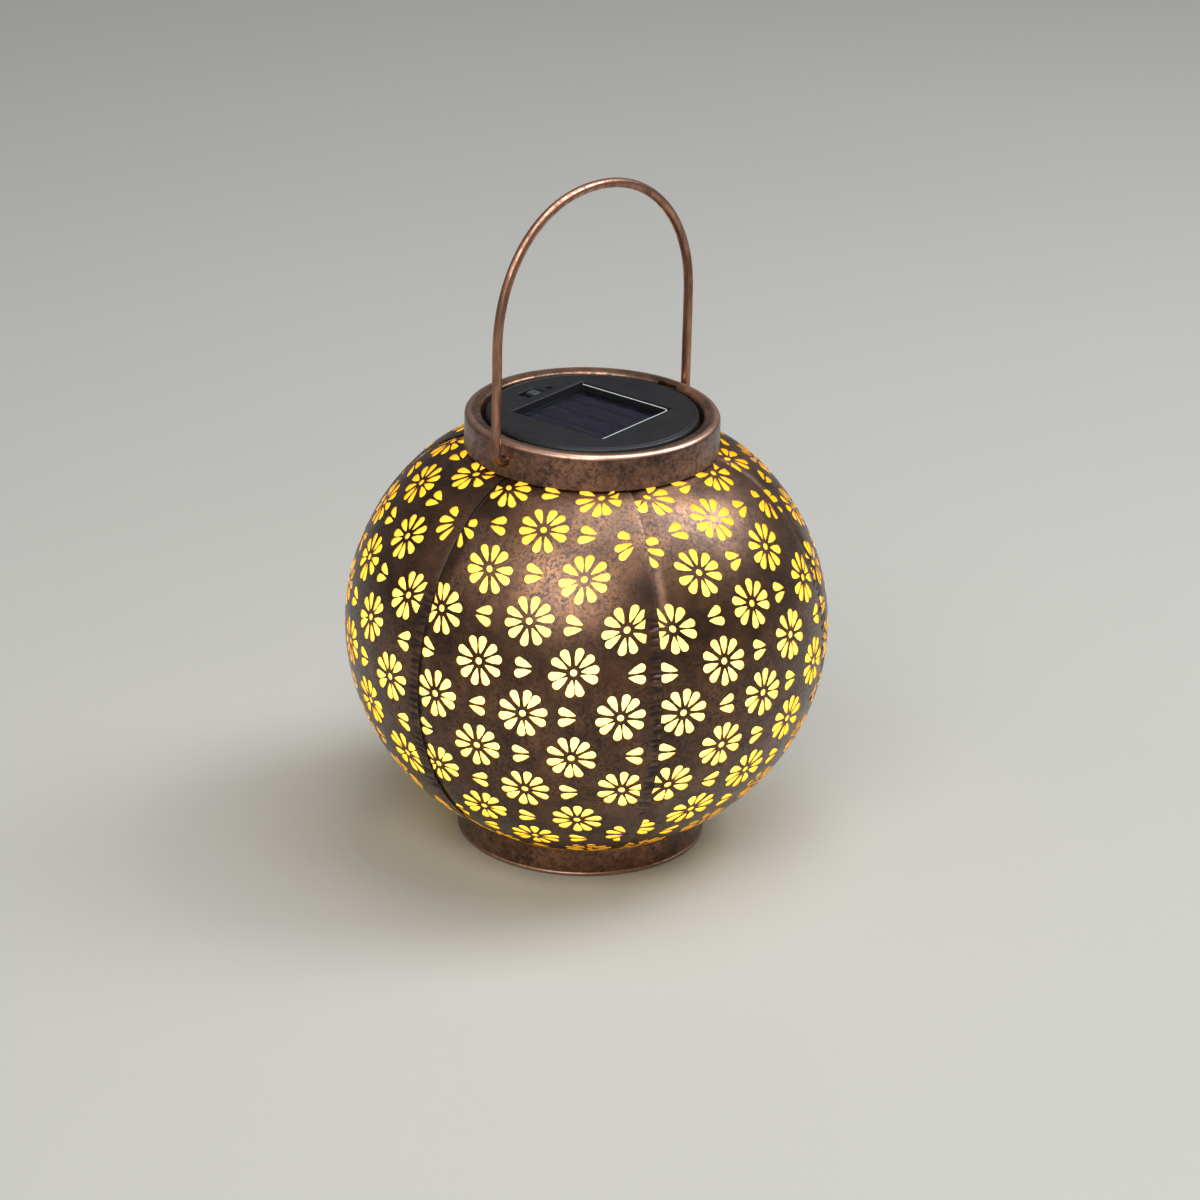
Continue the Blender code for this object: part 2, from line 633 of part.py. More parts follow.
def make_led(material, frame):
    """A 5 mm LED hanging from the board, its dome pointing down."""
    flange_top = BOARD_TOP_Z - BOARD_SIZE[2] - GAP
    flange_low = flange_top - 1.0 * MM
    dome_start = HOUSING_BOTTOM_Z + 0.5 * MM
    profile = [(0.0, flange_top), (LED_RADIUS + 0.4 * MM, flange_top), (LED_RADIUS + 0.4 * MM, flange_low),
               (LED_RADIUS, flange_low)]
    dome_steps = 4
    for step in range(dome_steps):
        angle = 0.5 * math.pi * step / dome_steps
        profile.append((LED_RADIUS * math.cos(angle), dome_start - LED_RADIUS * math.sin(angle)))
    profile.append((0.0, dome_start - LED_RADIUS))
    return finish_mesh("led", turned(profile, SMALL_SEGMENTS), material, frame)


def make_dome(material, frame):
    """The frosted dome glued under the LED hole."""
    top = HOUSING_BOTTOM_Z - GAP
    depth = top - DOME_BOTTOM_Z
    steps = 5
    inner_radius = DOME_RADIUS - DOME_WALL
    inner_depth = depth - DOME_WALL
    outer = []
    inner = []
    for step in range(steps):
        angle = 0.5 * math.pi * step / steps
        outer.append((DOME_RADIUS * math.cos(angle), top - depth * math.sin(angle)))
        inner.append((inner_radius * math.cos(angle), top - inner_depth * math.sin(angle)))
    profile = [(0.0, top - depth)] + outer[::-1] + inner + [(0.0, top - depth + DOME_WALL)]
    return finish_mesh("frosted_dome", turned(profile, MEDIUM_SEGMENTS), material, frame)


def make_switch(body_material, knob_material, frame):
    """The slide switch under its slot. The knob's origin is at its own centre, in the ON place."""
    body_top = MODULE_TOP_Z - COVER_TOP - GAP
    body = block(SWITCH_BODY, (*SWITCH_CENTRE, body_top - 0.5 * SWITCH_BODY[2]))
    finish_mesh("switch_body", body, body_material, frame)
    knob_low = body_top + GAP
    centre = (SWITCH_CENTRE[0] + KNOB_OFFSET, SWITCH_CENTRE[1], knob_low + 0.5 * KNOB_SIZE[2])
    knob = block(KNOB_SIZE, (0.0, 0.0, 0.0), bevel=0.3 * MM)
    finish_mesh("switch_knob", knob, knob_material, frame, centre)


def make_sensor(material, frame):
    top = MODULE_TOP_Z - COVER_TOP - GAP
    body = rod(SENSOR_HOLE_RADIUS + 0.8 * MM, top - 2.2 * MM, top, SENSOR_CENTRE)
    finish_mesh("light_sensor", body, material, frame)


def lead_route(start, end, lift):
    """A slack lead between two solder points, leaving and arriving upright."""
    steps = 9
    route = []
    for step in range(steps + 1):
        share = step / steps
        ease = share * share * (3.0 - 2.0 * share)
        rise = lift * math.sin(math.pi * share)
        route.append((start[0] + (end[0] - start[0]) * ease, start[1] + (end[1] - start[1]) * ease,
                      start[2] + (end[2] - start[2]) * share + rise))
    return route


def make_leads(red, black, frame):
    """The thin leads from the panel, the battery contacts, the switch and the sensor to the board."""
    board = BOARD_TOP_Z + GAP
    under_panel = MODULE_TOP_Z - WINDOW_DEPTH
    under_switch = MODULE_TOP_Z - COVER_TOP - SWITCH_BODY[2] - 2.0 * GAP
    contact_top = BATTERY_Z + 5.5 * MM + GAP
    contact_y = BATTERY_Y + 4.0 * MM
    positive_start = (0.5 * BATTERY_LENGTH + 2.0 * GAP, contact_y, contact_top)
    negative_start = (-CONTACT_X, contact_y, contact_top)
    switch_x, switch_y = SWITCH_CENTRE
    sensor_start = (*SENSOR_CENTRE, under_switch + 2.0 * MM)
    common_start = (switch_x - 2.5 * MM, switch_y, under_switch)
    on_start = (switch_x + 2.0 * MM, switch_y, under_switch)
    loop = 6.0 * MM
    leads = [
        ("battery_lead_positive", red, positive_start, (20.0 * MM, 0.0, board), loop),
        ("battery_lead_negative", black, negative_start, (-20.0 * MM, 0.0, board), loop),
        ("switch_lead_common", black, common_start, (-15.0 * MM, 13.0 * MM, board), 0.0),
        ("switch_lead_on", red, on_start, (-2.0 * MM, 14.0 * MM, board), 0.0),
        ("sensor_lead", red, sensor_start, (9.0 * MM, 14.0 * MM, board), 0.0),
    ]
    for name, material, place in (("panel_lead_positive", red, PANEL_LEAD_PLACES[0]),
                                  ("panel_lead_negative", black, PANEL_LEAD_PLACES[1])):
        leads.append((name, material, (*place, under_panel), (*place, board), 0.0))
    for name, material, start, end, lift in leads:
        make_tube(name, lead_route(start, end, lift), LEAD_RADIUS, material, frame)


# ---------------------------------------------------------------- the whole lantern

def main():
    clear_scene()
    copper = make_material("aged_copper", (0.33, 0.19, 0.13), 0.42, 1.0)
    wire = make_material("copper_wire", (0.50, 0.27, 0.18), 0.35, 1.0)
    black = make_material("black_plastic", (0.035, 0.036, 0.036), 0.45, 0.0)
    rubber = make_material("seal_rubber", (0.02, 0.02, 0.02), 0.8, 0.0)
    board = make_material("board_green", (0.03, 0.16, 0.08), 0.5, 0.0)
    cell = make_material("solar_cell", (0.035, 0.035, 0.085), 0.25, 0.2)
    resin = make_material("clear_resin", (0.20, 0.20, 0.26), 0.1, 0.0)
    steel = make_material("plated_steel", (0.62, 0.62, 0.60), 0.3, 1.0)
    battery = make_material("battery_sleeve", (0.10, 0.34, 0.16), 0.4, 0.0)
    film = make_material("liner_film", (1.0, 0.78, 0.40), 0.5, 0.0)
    frosted = make_material("frosted_plastic", (0.85, 0.84, 0.78), 0.55, 0.0)
    grey = make_material("grey_plastic", (0.20, 0.22, 0.23), 0.5, 0.0)
    red_lead = make_material("red_lead", (0.45, 0.03, 0.02), 0.5, 0.0)
    black_lead = make_material("black_lead", (0.02, 0.02, 0.02), 0.5, 0.0)

    for index in range(GORE_COUNT):
        make_gore(index, copper)
    make_liner(film)
    make_collar(copper)
    make_foot(copper)
    make_bottom_plate(copper)
    handle_axis = make_axis("handle_axis", (0.0, 0.0, PIVOT_Z))
    make_tube("bail_handle", handle_route(), WIRE_RADIUS, wire, handle_axis, sides=3)

    module = make_axis("module_axis", (0.0, 0.0, 0.0), MODULE_TURN)
    make_cover(black, module)
    make_seal(rubber, module)
    make_panel(black, cell, resin, module)
    make_housing(black, module)
    make_battery_door(black, module)
    make_screws(steel, module)
    make_battery(battery, module)
    make_contacts(steel, module)
    make_circuit({"board": board, "black": black, "metal": steel}, module)
    make_led(frosted, module)
    make_dome(frosted, module)
    make_switch(black, grey, module)
    make_sensor(grey, module)
    make_leads(red_lead, black_lead, module)


main()
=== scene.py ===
"""Looks for the solar lantern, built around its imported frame. Metres, in the frame's own axes."""
import math
import random

import bmesh
import bpy
import numpy as np
from mathutils import Matrix, Vector
from mathutils.geometry import delaunay_2d_cdt


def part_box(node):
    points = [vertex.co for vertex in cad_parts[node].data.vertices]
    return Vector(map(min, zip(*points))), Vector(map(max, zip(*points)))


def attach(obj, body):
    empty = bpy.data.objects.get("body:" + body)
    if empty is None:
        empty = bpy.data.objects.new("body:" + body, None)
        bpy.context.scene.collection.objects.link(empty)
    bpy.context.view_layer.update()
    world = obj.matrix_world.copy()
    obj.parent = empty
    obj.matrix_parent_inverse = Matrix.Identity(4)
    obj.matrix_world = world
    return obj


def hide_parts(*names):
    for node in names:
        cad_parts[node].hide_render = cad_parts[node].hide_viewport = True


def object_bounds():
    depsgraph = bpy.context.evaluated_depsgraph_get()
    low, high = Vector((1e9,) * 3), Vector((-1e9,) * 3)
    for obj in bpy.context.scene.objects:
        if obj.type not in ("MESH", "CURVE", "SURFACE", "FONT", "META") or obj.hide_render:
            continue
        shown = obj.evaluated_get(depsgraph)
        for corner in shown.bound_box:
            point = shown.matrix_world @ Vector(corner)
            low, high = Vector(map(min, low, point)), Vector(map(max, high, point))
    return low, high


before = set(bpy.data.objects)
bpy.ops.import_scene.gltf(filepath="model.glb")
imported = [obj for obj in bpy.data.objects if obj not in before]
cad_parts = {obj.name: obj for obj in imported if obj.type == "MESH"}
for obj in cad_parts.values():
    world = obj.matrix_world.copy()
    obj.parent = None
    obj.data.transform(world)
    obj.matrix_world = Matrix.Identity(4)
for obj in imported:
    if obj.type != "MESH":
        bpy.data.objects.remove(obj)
cad_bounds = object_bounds()

MM = 0.001
SEED = 20
BODY = "lantern_body"
MODULE = "solar_module"

# The camera: a long lens, a little above the lantern.
CAMERA_AZIMUTH = math.radians(-48.0)
CAMERA_ELEVATION = math.radians(23.36)
CAMERA_ROLL = math.radians(1.679)
CAMERA_DISTANCE = 1.942
CAMERA_LENS = 140.7
CAMERA_SHIFT = (0.0112, 0.0163)

# The globe's outer face: an ellipse turned about Z, with a slightly flattened shoulder under the collar.
GLOBE_RADIUS = float(cad_bounds[1].x)
GLOBE_POLAR = 94.5 * MM
GLOBE_CENTRE_Z = 93.0 * MM
RING_RADIUS = float(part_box("top_collar")[1].x)
RING_WALL = 0.9 * MM
SHOULDER_START_RADIUS = 75.0 * MM
SHOULDER_DROP = 3.4 * MM
GLOBE_END_ANGLE = math.acos(0.47)

# The sheet-metal gores and how they lap: each one's right edge lies over the next one's tucked edge.
GORE_COUNT = 6
GORE_HALF_ANGLE = math.pi / GORE_COUNT
SHEET = 0.4 * MM
LAP_WIDTH = 2.8 * MM
LAP_DEPTH = 1.05 * MM
LAP_EASE = 6.0 * MM
CRIMP_WIDTH = 5.5 * MM
CRIMP_LOW = -52.0 * MM
CRIMP_HIGH = 42.0 * MM
CRIMP_SPACING = (2.0 * MM, 3.6 * MM)
CRIMP_DEPTHS = (0.2 * MM, 0.8 * MM)
# The widths of the strip of wear and painted highlight along each gore's right edge, and of the painted
# shadow along its tucked left edge.
WEAR_AND_HIGHLIGHT_WIDTH = 0.30 * MM
CREVICE_WIDTH = 0.45 * MM
GRID_STEP = 2.6 * MM
EDGE_STEP = 0.7 * MM

# A gore's material slots: its outer and inner faces, its cut edges with their painted glow, and the painted
# shadow in its seam.
OUTER_SLOT, INNER_SLOT, CUT_SLOT, SEAM_SLOT = range(4)

# The translucent film inside the gores, deep enough to clear their laps and crimps.
FILM_DEPTH = 2.2 * MM
FILM_SHEET = 0.3 * MM

# The punched pattern, laid out flat on each gore: daisies, and pairs of petals between them.
COLUMN_COUNT = 5
COLUMN_START = -43.3 * MM
COLUMN_PITCH = 19.6 * MM
ROW_PITCH = 18.8 * MM
ROW_COUNT = 5
EDGE_ROW_SQUEEZE = 0.075
PETAL_ANGLES = (11.0, 44.0, 80.0, 112.0, 155.0, 185.0, 227.0, 255.0, 295.0, 332.0)
PETAL_START = 3.1 * MM
PETAL_END = 10.2 * MM
PETAL_WIDTH = 3.65 * MM
LEAST_PETAL_GAP = 27.5
EYE_RADIUS = 1.4 * MM
LEAST_HOLE_SPAN = 1.9 * MM
PAIR_HALF_ANGLE = math.radians(16.5)
PAIR_TIP_SIDES = (1.0, -1.0, 1.0, 1.0, -1.0)
PAIR_SHIFTS = (-5.3 * MM, 0.5 * MM, -1.0 * MM, -2.0 * MM, 6.0 * MM)

# The collar and foot, and the line through the bail's two hooked ends.
COLLAR_TOP_Z = float(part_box("top_collar")[1].z)
COLLAR_LIP_RADIUS = 45.5 * MM
SHELF_RADIUS = 41.0 * MM
SHELF_Z = 175.8 * MM
FOOT_RADIUS = 51.4 * MM
FOOT_BEAD = 0.9 * MM
PIVOT_Z = 177.4 * MM

# The solar module, in its own frame, which is turned a little in the collar.
MODULE_TURN = Matrix.Rotation(math.radians(4.6), 4, "Z")
COVER_TOP_Z = float(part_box("module_cover")[1].z)
COVER_RADIUS = 43.5 * MM
WINDOW_CENTRE = (1.0 * MM, 1.0 * MM)
WINDOW_HALF = 23.25 * MM
WINDOW_DEPTH = 5.8 * MM
SWITCH_CENTRE = (-0.5 * MM, 32.0 * MM)
SWITCH_HALF = (5.5 * MM, 3.0 * MM)
SENSOR_CENTRE = (9.2 * MM, 30.0 * MM)
SENSOR_RADIUS = 1.5 * MM
SCREW_ANGLES = (0.0, 180.0, 270.0)
SCREW_CIRCLE = 34.5 * MM

# Colours: a light and a dark one for each copper, and one for the module's black plastic.
GORE_COPPER = ((0.195, 0.085, 0.034), (0.058, 0.022, 0.008))
RING_COPPER = ((0.31, 0.145, 0.080), (0.080, 0.034, 0.017))
BAIL_COPPER = ((0.44, 0.23, 0.15), (0.20, 0.095, 0.062))
BLACK = (0.007, 0.007, 0.0074)

# The studio: name, azimuth and elevation in degrees, distance and size in metres, watts and colour.
LIGHTS = (
    ("key", 58.0, 47.0, 2.0, 0.9, 30.0, (0.88, 0.94, 1.0)),
    ("overhead", 40.0, 77.0, 1.9, 1.5, 38.0, (0.90, 0.95, 1.0)),
    ("front", -62.0, 44.0, 2.2, 1.3, 41.0, (0.96, 0.98, 1.0)),
    ("fill", -118.0, 38.0, 2.4, 1.2, 6.0, (1.0, 1.0, 1.0)),
)
WORLD_COLOUR = (0.95, 0.94, 0.92, 1.0)
WORLD_STRENGTH = 0.15
FLOOR_HALF = 12.0


# ---------------------------------------------------------------- node helpers

class Nodes:
    """Short names for building one material's nodes."""

    def __init__(self, name):
        self.material = bpy.data.materials.new(name)
        self.material.use_nodes = True
        self.tree = self.material.node_tree
        self.shader = self.tree.nodes["Principled BSDF"]
        self.place = self.tree.nodes.new("ShaderNodeTexCoord").outputs["Object"]

    def feed(self, socket, value):
        """Store a plain value on a socket, or link another node's output to it."""
        if isinstance(value, bpy.types.NodeSocket):
            self.tree.links.new(value, socket)
        elif socket.type == "RGBA" and len(value) == 3:
            socket.default_value = (*value, 1.0)
        else:
            socket.default_value = value

    def set(self, **values):
        for key, value in values.items():
            self.feed(self.shader.inputs[key.replace("_", " ")], value)

    def add(self, kind, inputs, output=0, **properties):
        node = self.tree.nodes.new(kind)
        for key, value in properties.items():
            setattr(node, key, value)
        for key, value in inputs.items():
            self.feed(node.inputs[key], value)
        return node.outputs[output]

    def stretched(self, scale):
        """The object's coordinates, scaled by a different amount along each axis."""
        return self.add("ShaderNodeMapping", {"Vector": self.place, "Scale": scale})

    def noise(self, scale, detail=3.0, roughness=0.55, where=None):
        inputs = {"Vector": where or self.place, "Scale": scale, "Detail": detail, "Roughness": roughness}
        return self.add("ShaderNodeTexNoise", inputs)

    def cells(self, scale):
        return self.add("ShaderNodeTexVoronoi", {"Vector": self.place, "Scale": scale})

    def coordinate(self, axis):
        return self.add("ShaderNodeSeparateXYZ", {"Vector": self.place}, axis)

    def remap(self, value, low, high, to_low=0.0, to_high=1.0):
        inputs = {"Value": value, "From Min": low, "From Max": high, "To Min": to_low, "To Max": to_high}
        return self.add("ShaderNodeMapRange", inputs)

    def mix(self, factor, first, second):
        return self.add("ShaderNodeMix", {0: factor, 6: first, 7: second}, 2, data_type="RGBA")

    def calculate(self, operation, first, second):
        return self.add("ShaderNodeMath", {0: first, 1: second}, operation=operation)

    def bump(self, height, distance, strength):
        return self.add("ShaderNodeBump", {"Height": height, "Distance": distance, "Strength": strength})

    def attribute(self, name):
        return self.add("ShaderNodeAttribute", {}, "Fac", attribute_name=name)


def shade(colour, share):
    """A colour made darker or lighter by a share."""
    return tuple(share * value for value in colour)


# ---------------------------------------------------------------- materials

def aged_copper(name, light, dark, rim_heights=None, rim_radius=0.0):
    """Antiqued copper plate: blotchy patina, fine dark speckle, grime and painted shade in its creases and
    seams, and crests lightened by wear and a painted highlight.

    A turned ring has coarser flecks and upright polishing streaks, and its rim is rubbed bright, partly wear
    and partly a painted highlight: from the first rim height to the second, and outside the rim radius.
    """
    made = Nodes(name)
    blotches = made.remap(made.noise(62.0, 6.0, 0.72), 0.38, 0.64)
    base = made.mix(blotches, light, dark)
    grain_scale = 460.0 if rim_heights else 700.0
    grain = made.remap(made.noise(grain_scale, 5.0, 0.8), 0.47, 0.56)
    grain_zones = made.remap(made.noise(80.0, 4.0, 0.65), 0.36, 0.58, 0.35, 1.0)
    speckle = made.calculate("MULTIPLY", grain, grain_zones)
    # A gore's wear and painted highlight, from its points' attribute.
    wear = made.attribute("wear_and_highlight")
    if rim_heights:
        upright = made.noise(1.0, 3.0, 0.6, made.stretched((420.0, 420.0, 30.0)))
        speckle = made.calculate("MAXIMUM", speckle, made.remap(upright, 0.54, 0.74, 0.0, 0.6))
        # A ring's rim, lightened by wear and a painted highlight along its rolled crest.
        rubbed = made.remap(made.coordinate("Z"), *rim_heights)
        flat_place = made.stretched((1.0, 1.0, 0.0))
        outward = made.add("ShaderNodeVectorMath", {0: flat_place}, "Value", operation="LENGTH")
        crest = made.remap(outward, rim_radius, rim_radius + 1.2 * MM)
        rubbed = made.calculate("MULTIPLY", rubbed, crest)
        wear = made.calculate("MULTIPLY", rubbed, made.remap(made.noise(130.0), 0.30, 0.55, 0.45, 1.0))
        speckle = made.calculate("MULTIPLY", speckle, made.remap(wear, 0.0, 0.7, 1.0, 0.1))
    # Lightened towards a pale copper by the wear and painted highlight.
    wear_and_highlight = made.mix(wear, base, tuple(1.25 * value + 0.10 for value in light))
    # Darkened by the speckle, and by the grime and painted shade from the points' attribute.
    dirt_and_shade = made.calculate("MAXIMUM", made.calculate("MULTIPLY", speckle, 0.85), made.attribute("dirt_and_shade"))
    made.set(Base_Color=made.mix(dirt_and_shade, wear_and_highlight, shade(dark, 0.28)), Metallic=0.9)
    made.set(Roughness=made.remap(dirt_and_shade, 0.0, 1.0, 0.34, 0.62), Coat_Weight=0.6, Coat_Roughness=0.36)
    made.set(Normal=made.bump(made.noise(240.0, 4.0, 0.65), 0.08 * MM, 0.6))
    return made.material


def amber_film_painted_glow(name):
    """The film behind the holes, with a painted glow standing in for the lamp's light through it: pale and
    brighter low down, golden and dimmer near the collar.

    The amber coat absorbs more of the glow the more shallowly it is looked through.
    """
    made = Nodes(name)
    level = made.remap(made.coordinate("Z"), 108.0 * MM, 156.0 * MM)
    mottle = made.remap(made.noise(85.0, 3.0), 0.36, 0.66)
    pale = made.mix(mottle, (1.0, 0.93, 0.84), (1.0, 0.98, 0.94))
    golden = made.mix(mottle, (1.0, 0.74, 0.20), (1.0, 0.88, 0.40))
    made.set(Base_Color=made.mix(mottle, (0.30, 0.18, 0.04), (0.38, 0.25, 0.07)), Roughness=0.45)
    made.set(Coat_Weight=1.0, Coat_IOR=1.04, Coat_Roughness=0.3, Coat_Tint=(1.0, 0.86, 0.34, 1.0))
    # The painted glow: its colour and strength by height.
    made.set(Emission_Color=made.mix(level, pale, golden))
    made.set(Emission_Strength=made.remap(level, 0.0, 1.0, 2.4, 1.35))
    return made.material


def punched_edge_painted_glow(name):
    """The cut walls of the holes, with a painted glow: coloured golden and faintly emissive, standing in for
    the lamp's light falling on them from inside.
    """
    made = Nodes(name)
    colour = made.mix(made.noise(260.0), (0.82, 0.52, 0.07), (0.52, 0.27, 0.04))
    made.set(Base_Color=colour, Metallic=0.5, Roughness=0.4, Emission_Color=colour, Emission_Strength=0.16)
    return made.material


def seam_shadow(name):
    """Painted shadow: a near-black strip along a lapped seam, where shade falls in the crevice under the
    lapping edge.
    """
    made = Nodes(name)
    dirt_and_shade = made.noise(500.0, 3.0)
    made.set(Base_Color=made.mix(dirt_and_shade, (0.018, 0.012, 0.010), (0.045, 0.028, 0.020)), Metallic=0.4)
    made.set(Roughness=made.remap(dirt_and_shade, 0.3, 0.7, 0.6, 0.85))
    return made.material


def worn_copper(name, light, dark):
    """Copper rubbed bright, with dull streaks."""
    made = Nodes(name)
    along = made.noise(1.0, 3.0, 0.6, made.stretched((320.0, 320.0, 60.0)))
    wear = made.remap(along, 0.38, 0.66)
    made.set(Base_Color=made.mix(wear, light, dark), Metallic=0.95)
    made.set(Roughness=made.remap(wear, 0.0, 1.0, 0.28, 0.5))
    made.set(Normal=made.bump(made.noise(700.0), 0.04 * MM, 0.5))
    return made.material


def moulded_plastic(name, colour, roughness, dust=0.10):
    """Moulded plastic with a fine eroded grain and a little pale dust."""
    made = Nodes(name)
    dusty = made.remap(made.noise(48.0, 5.0, 0.7), 0.45, 0.75, 0.0, dust)
    pale = tuple(0.6 * value + 0.18 for value in colour)
    made.set(Base_Color=made.mix(dusty, colour, pale), Specular_IOR_Level=0.25)
    made.set(Roughness=made.remap(made.noise(160.0), 0.3, 0.7, roughness - 0.06, roughness + 0.08))
    made.set(Normal=made.bump(made.noise(1500.0, 2.0), 0.03 * MM, 0.6))
    return made.material


def solar_silicon(name):
    """Cell strips: deep violet blue, faintly crystalline."""
    made = Nodes(name)
    crystals = made.cells(260.0)
    made.set(Base_Color=made.mix(crystals, (0.0055, 0.0050, 0.017), (0.0035, 0.0035, 0.011)))
    made.set(Metallic=0.1, Specular_IOR_Level=0.15, Roughness=made.remap(crystals, 0.0, 1.0, 0.25, 0.4))
    return made.material


def clear_resin(name):
    """The clear face over the cells."""
    made = Nodes(name)
    haze = made.noise(120.0, 4.0)
    made.set(Base_Color=(0.86, 0.87, 0.95), Transmission_Weight=1.0, IOR=1.16)
    made.set(Roughness=made.remap(haze, 0.3, 0.7, 0.02, 0.09))
    return made.material


def plated_metal(name):
    """Bright plated steel with fine scuffs."""
    made = Nodes(name)
    scuffs = made.noise(300.0, 4.0, 0.6)
    made.set(Base_Color=made.mix(scuffs, (0.70, 0.69, 0.66), (0.50, 0.49, 0.47)), Metallic=1.0)
    made.set(Roughness=made.remap(scuffs, 0.3, 0.7, 0.2, 0.38))
    return made.material


def lamp_plastic(name):
    """Frosted plastic with the lamp lit behind it."""
    made = Nodes(name)
    frost = made.noise(400.0, 3.0)
    made.set(Base_Color=made.mix(frost, (0.9, 0.87, 0.78), (0.8, 0.76, 0.64)), Roughness=0.6)
    made.set(Emission_Color=(1.0, 0.82, 0.48, 1.0), Emission_Strength=3.0)
    made.set(Normal=made.bump(frost, 0.03 * MM, 0.4))
    return made.material


def printed_board(name):
    """Green solder mask with the faint relief of its tracks."""
    made = Nodes(name)
    tracks = made.cells(420.0)
    made.set(Base_Color=made.mix(made.remap(tracks, 0.3, 0.5), (0.02, 0.16, 0.07), (0.03, 0.24, 0.11)))
    made.set(Roughness=0.35, Normal=made.bump(tracks, 0.03 * MM, 0.5))
    return made.material


def shrink_sleeve(name):
    """The battery's printed sleeve: a green wrap with a plain band."""
    made = Nodes(name)
    along = made.coordinate("X")
    band = made.remap(along, 10.0 * MM, 10.4 * MM)
    scuffs = made.noise(160.0, 4.0)
    green = made.mix(scuffs, (0.06, 0.30, 0.12), (0.09, 0.38, 0.17))
    made.set(Base_Color=made.mix(band, green, (0.55, 0.56, 0.54)), Roughness=0.35)
    return made.material


# ---------------------------------------------------------------- mesh helpers

def add_mesh(name, vertices, faces, materials, slots=None):
    """A smooth-shaded mesh object with one or more material slots."""
    mesh = bpy.data.meshes.new(name)
    mesh.from_pydata([tuple(vertex) for vertex in vertices], [], [tuple(face) for face in faces])
    for material in materials:
        mesh.materials.append(material)
    if slots is not None:
        mesh.polygons.foreach_set("material_index", slots)
    finish_shading(mesh)
    piece = bpy.data.objects.new(name, mesh)
    bpy.context.collection.objects.link(piece)
    return piece


def finish_shading(mesh, sharp_angle=35.0):
    """Shade a mesh smooth, apart from edges sharper than an angle in degrees."""
    mesh.shade_smooth()
    mesh.set_sharp_from_angle(angle=math.radians(sharp_angle))
    mesh.update()


def clean(piece, sharp_angle=35.0):
    """Weld a piece's meeting points and turn its faces outwards."""
    bm = bmesh.new()
    bm.from_mesh(piece.data)
    bmesh.ops.remove_doubles(bm, verts=bm.verts, dist=0.002 * MM)
    bm.normal_update()
    bmesh.ops.recalc_face_normals(bm, faces=bm.faces)
    bm.to_mesh(piece.data)
    bm.free()
    finish_shading(piece.data, sharp_angle)
    return piece


def keep(piece, body, slot, *nodes):
    """Ride a piece on its body and let it stand for its CAD nodes; its slot is not used."""
    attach(piece, body)
    if nodes:
        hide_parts(*nodes)
    return piece


def arc(centre, radius, start, end, steps):
    """Points along an arc in a flat section, its angles in degrees."""
    points = []
    for step in range(steps + 1):
        angle = math.radians(start + (end - start) * step / steps)
        points.append((centre[0] + radius * math.cos(angle), centre[1] + radius * math.sin(angle)))
    return points


def turned(name, profile, segments, material, wobble=None):
    """A closed ring turned about Z from a (radius, height) section."""
    vertices = []
    for step in range(segments):
        angle = math.tau * step / segments
        for radius, height in profile:
            away = radius - (wobble(angle, height) if wobble else 0.0)
            vertices.append((away * math.cos(angle), away * math.sin(angle), height))
    count = len(profile)
    faces = []
    for step in range(segments):
        here = step * count
        there = (step + 1) % segments * count
        for index in range(count):
            following = (index + 1) % count
            faces.append((here + index, there + index, there + following, here + following))
    return clean(add_mesh(name, vertices, faces, [material]))


def cut_away(piece, cutters):
    """Cut closed solids, which don't touch each other, out of a piece."""
    vertices = []
    faces = []
    for cutter_vertices, cutter_faces in cutters:
        first = len(vertices)
        vertices += cutter_vertices
        faces += [[first + index for index in face] for face in cutter_faces]
    tool = clean(add_mesh("cutter", vertices, faces, [piece.data.materials[0]]))
    modifier = piece.modifiers.new("cut", "BOOLEAN")
    modifier.operation = "DIFFERENCE"
    modifier.solver = "EXACT"
    modifier.object = tool
    cut = bpy.data.meshes.new_from_object(piece.evaluated_get(bpy.context.evaluated_depsgraph_get()))
    piece.modifiers.clear()
    piece.data = cut
    bpy.data.objects.remove(tool)
    return clean(piece)


def box_solid(low, high):
    """A box between two corners, as vertices and faces."""
    vertices = [(x, y, z) for x in (low[0], high[0]) for y in (low[1], high[1]) for z in (low[2], high[2])]
    faces = [(0, 1, 3, 2), (4, 6, 7, 5), (0, 4, 5, 1), (2, 3, 7, 6), (0, 2, 6, 4), (1, 5, 7, 3)]
    return vertices, faces


def tube_faces(rings, sides):
    """The faces of a tube with closed ends, from the number of each ring's first point."""
    last = rings[-1]
    faces = [list(range(sides)), list(range(last + sides - 1, last - 1, -1))]
    for here, there in zip(rings, rings[1:]):
        for step in range(sides):
            following = (step + 1) % sides
            faces.append((here + step, here + following, there + following, there + step))
    return faces


def sideways_rod(radius, start, end, height):
    """A rod lying along X, as vertices and faces."""
    sides = 32
    vertices = []
    for x in (start, end):
        for step in range(sides):
            angle = math.tau * step / sides
            vertices.append((x, radius * math.cos(angle), height + radius * math.sin(angle)))
    return vertices, tube_faces([0, sides], sides)


# ---------------------------------------------------------------- the punched gores

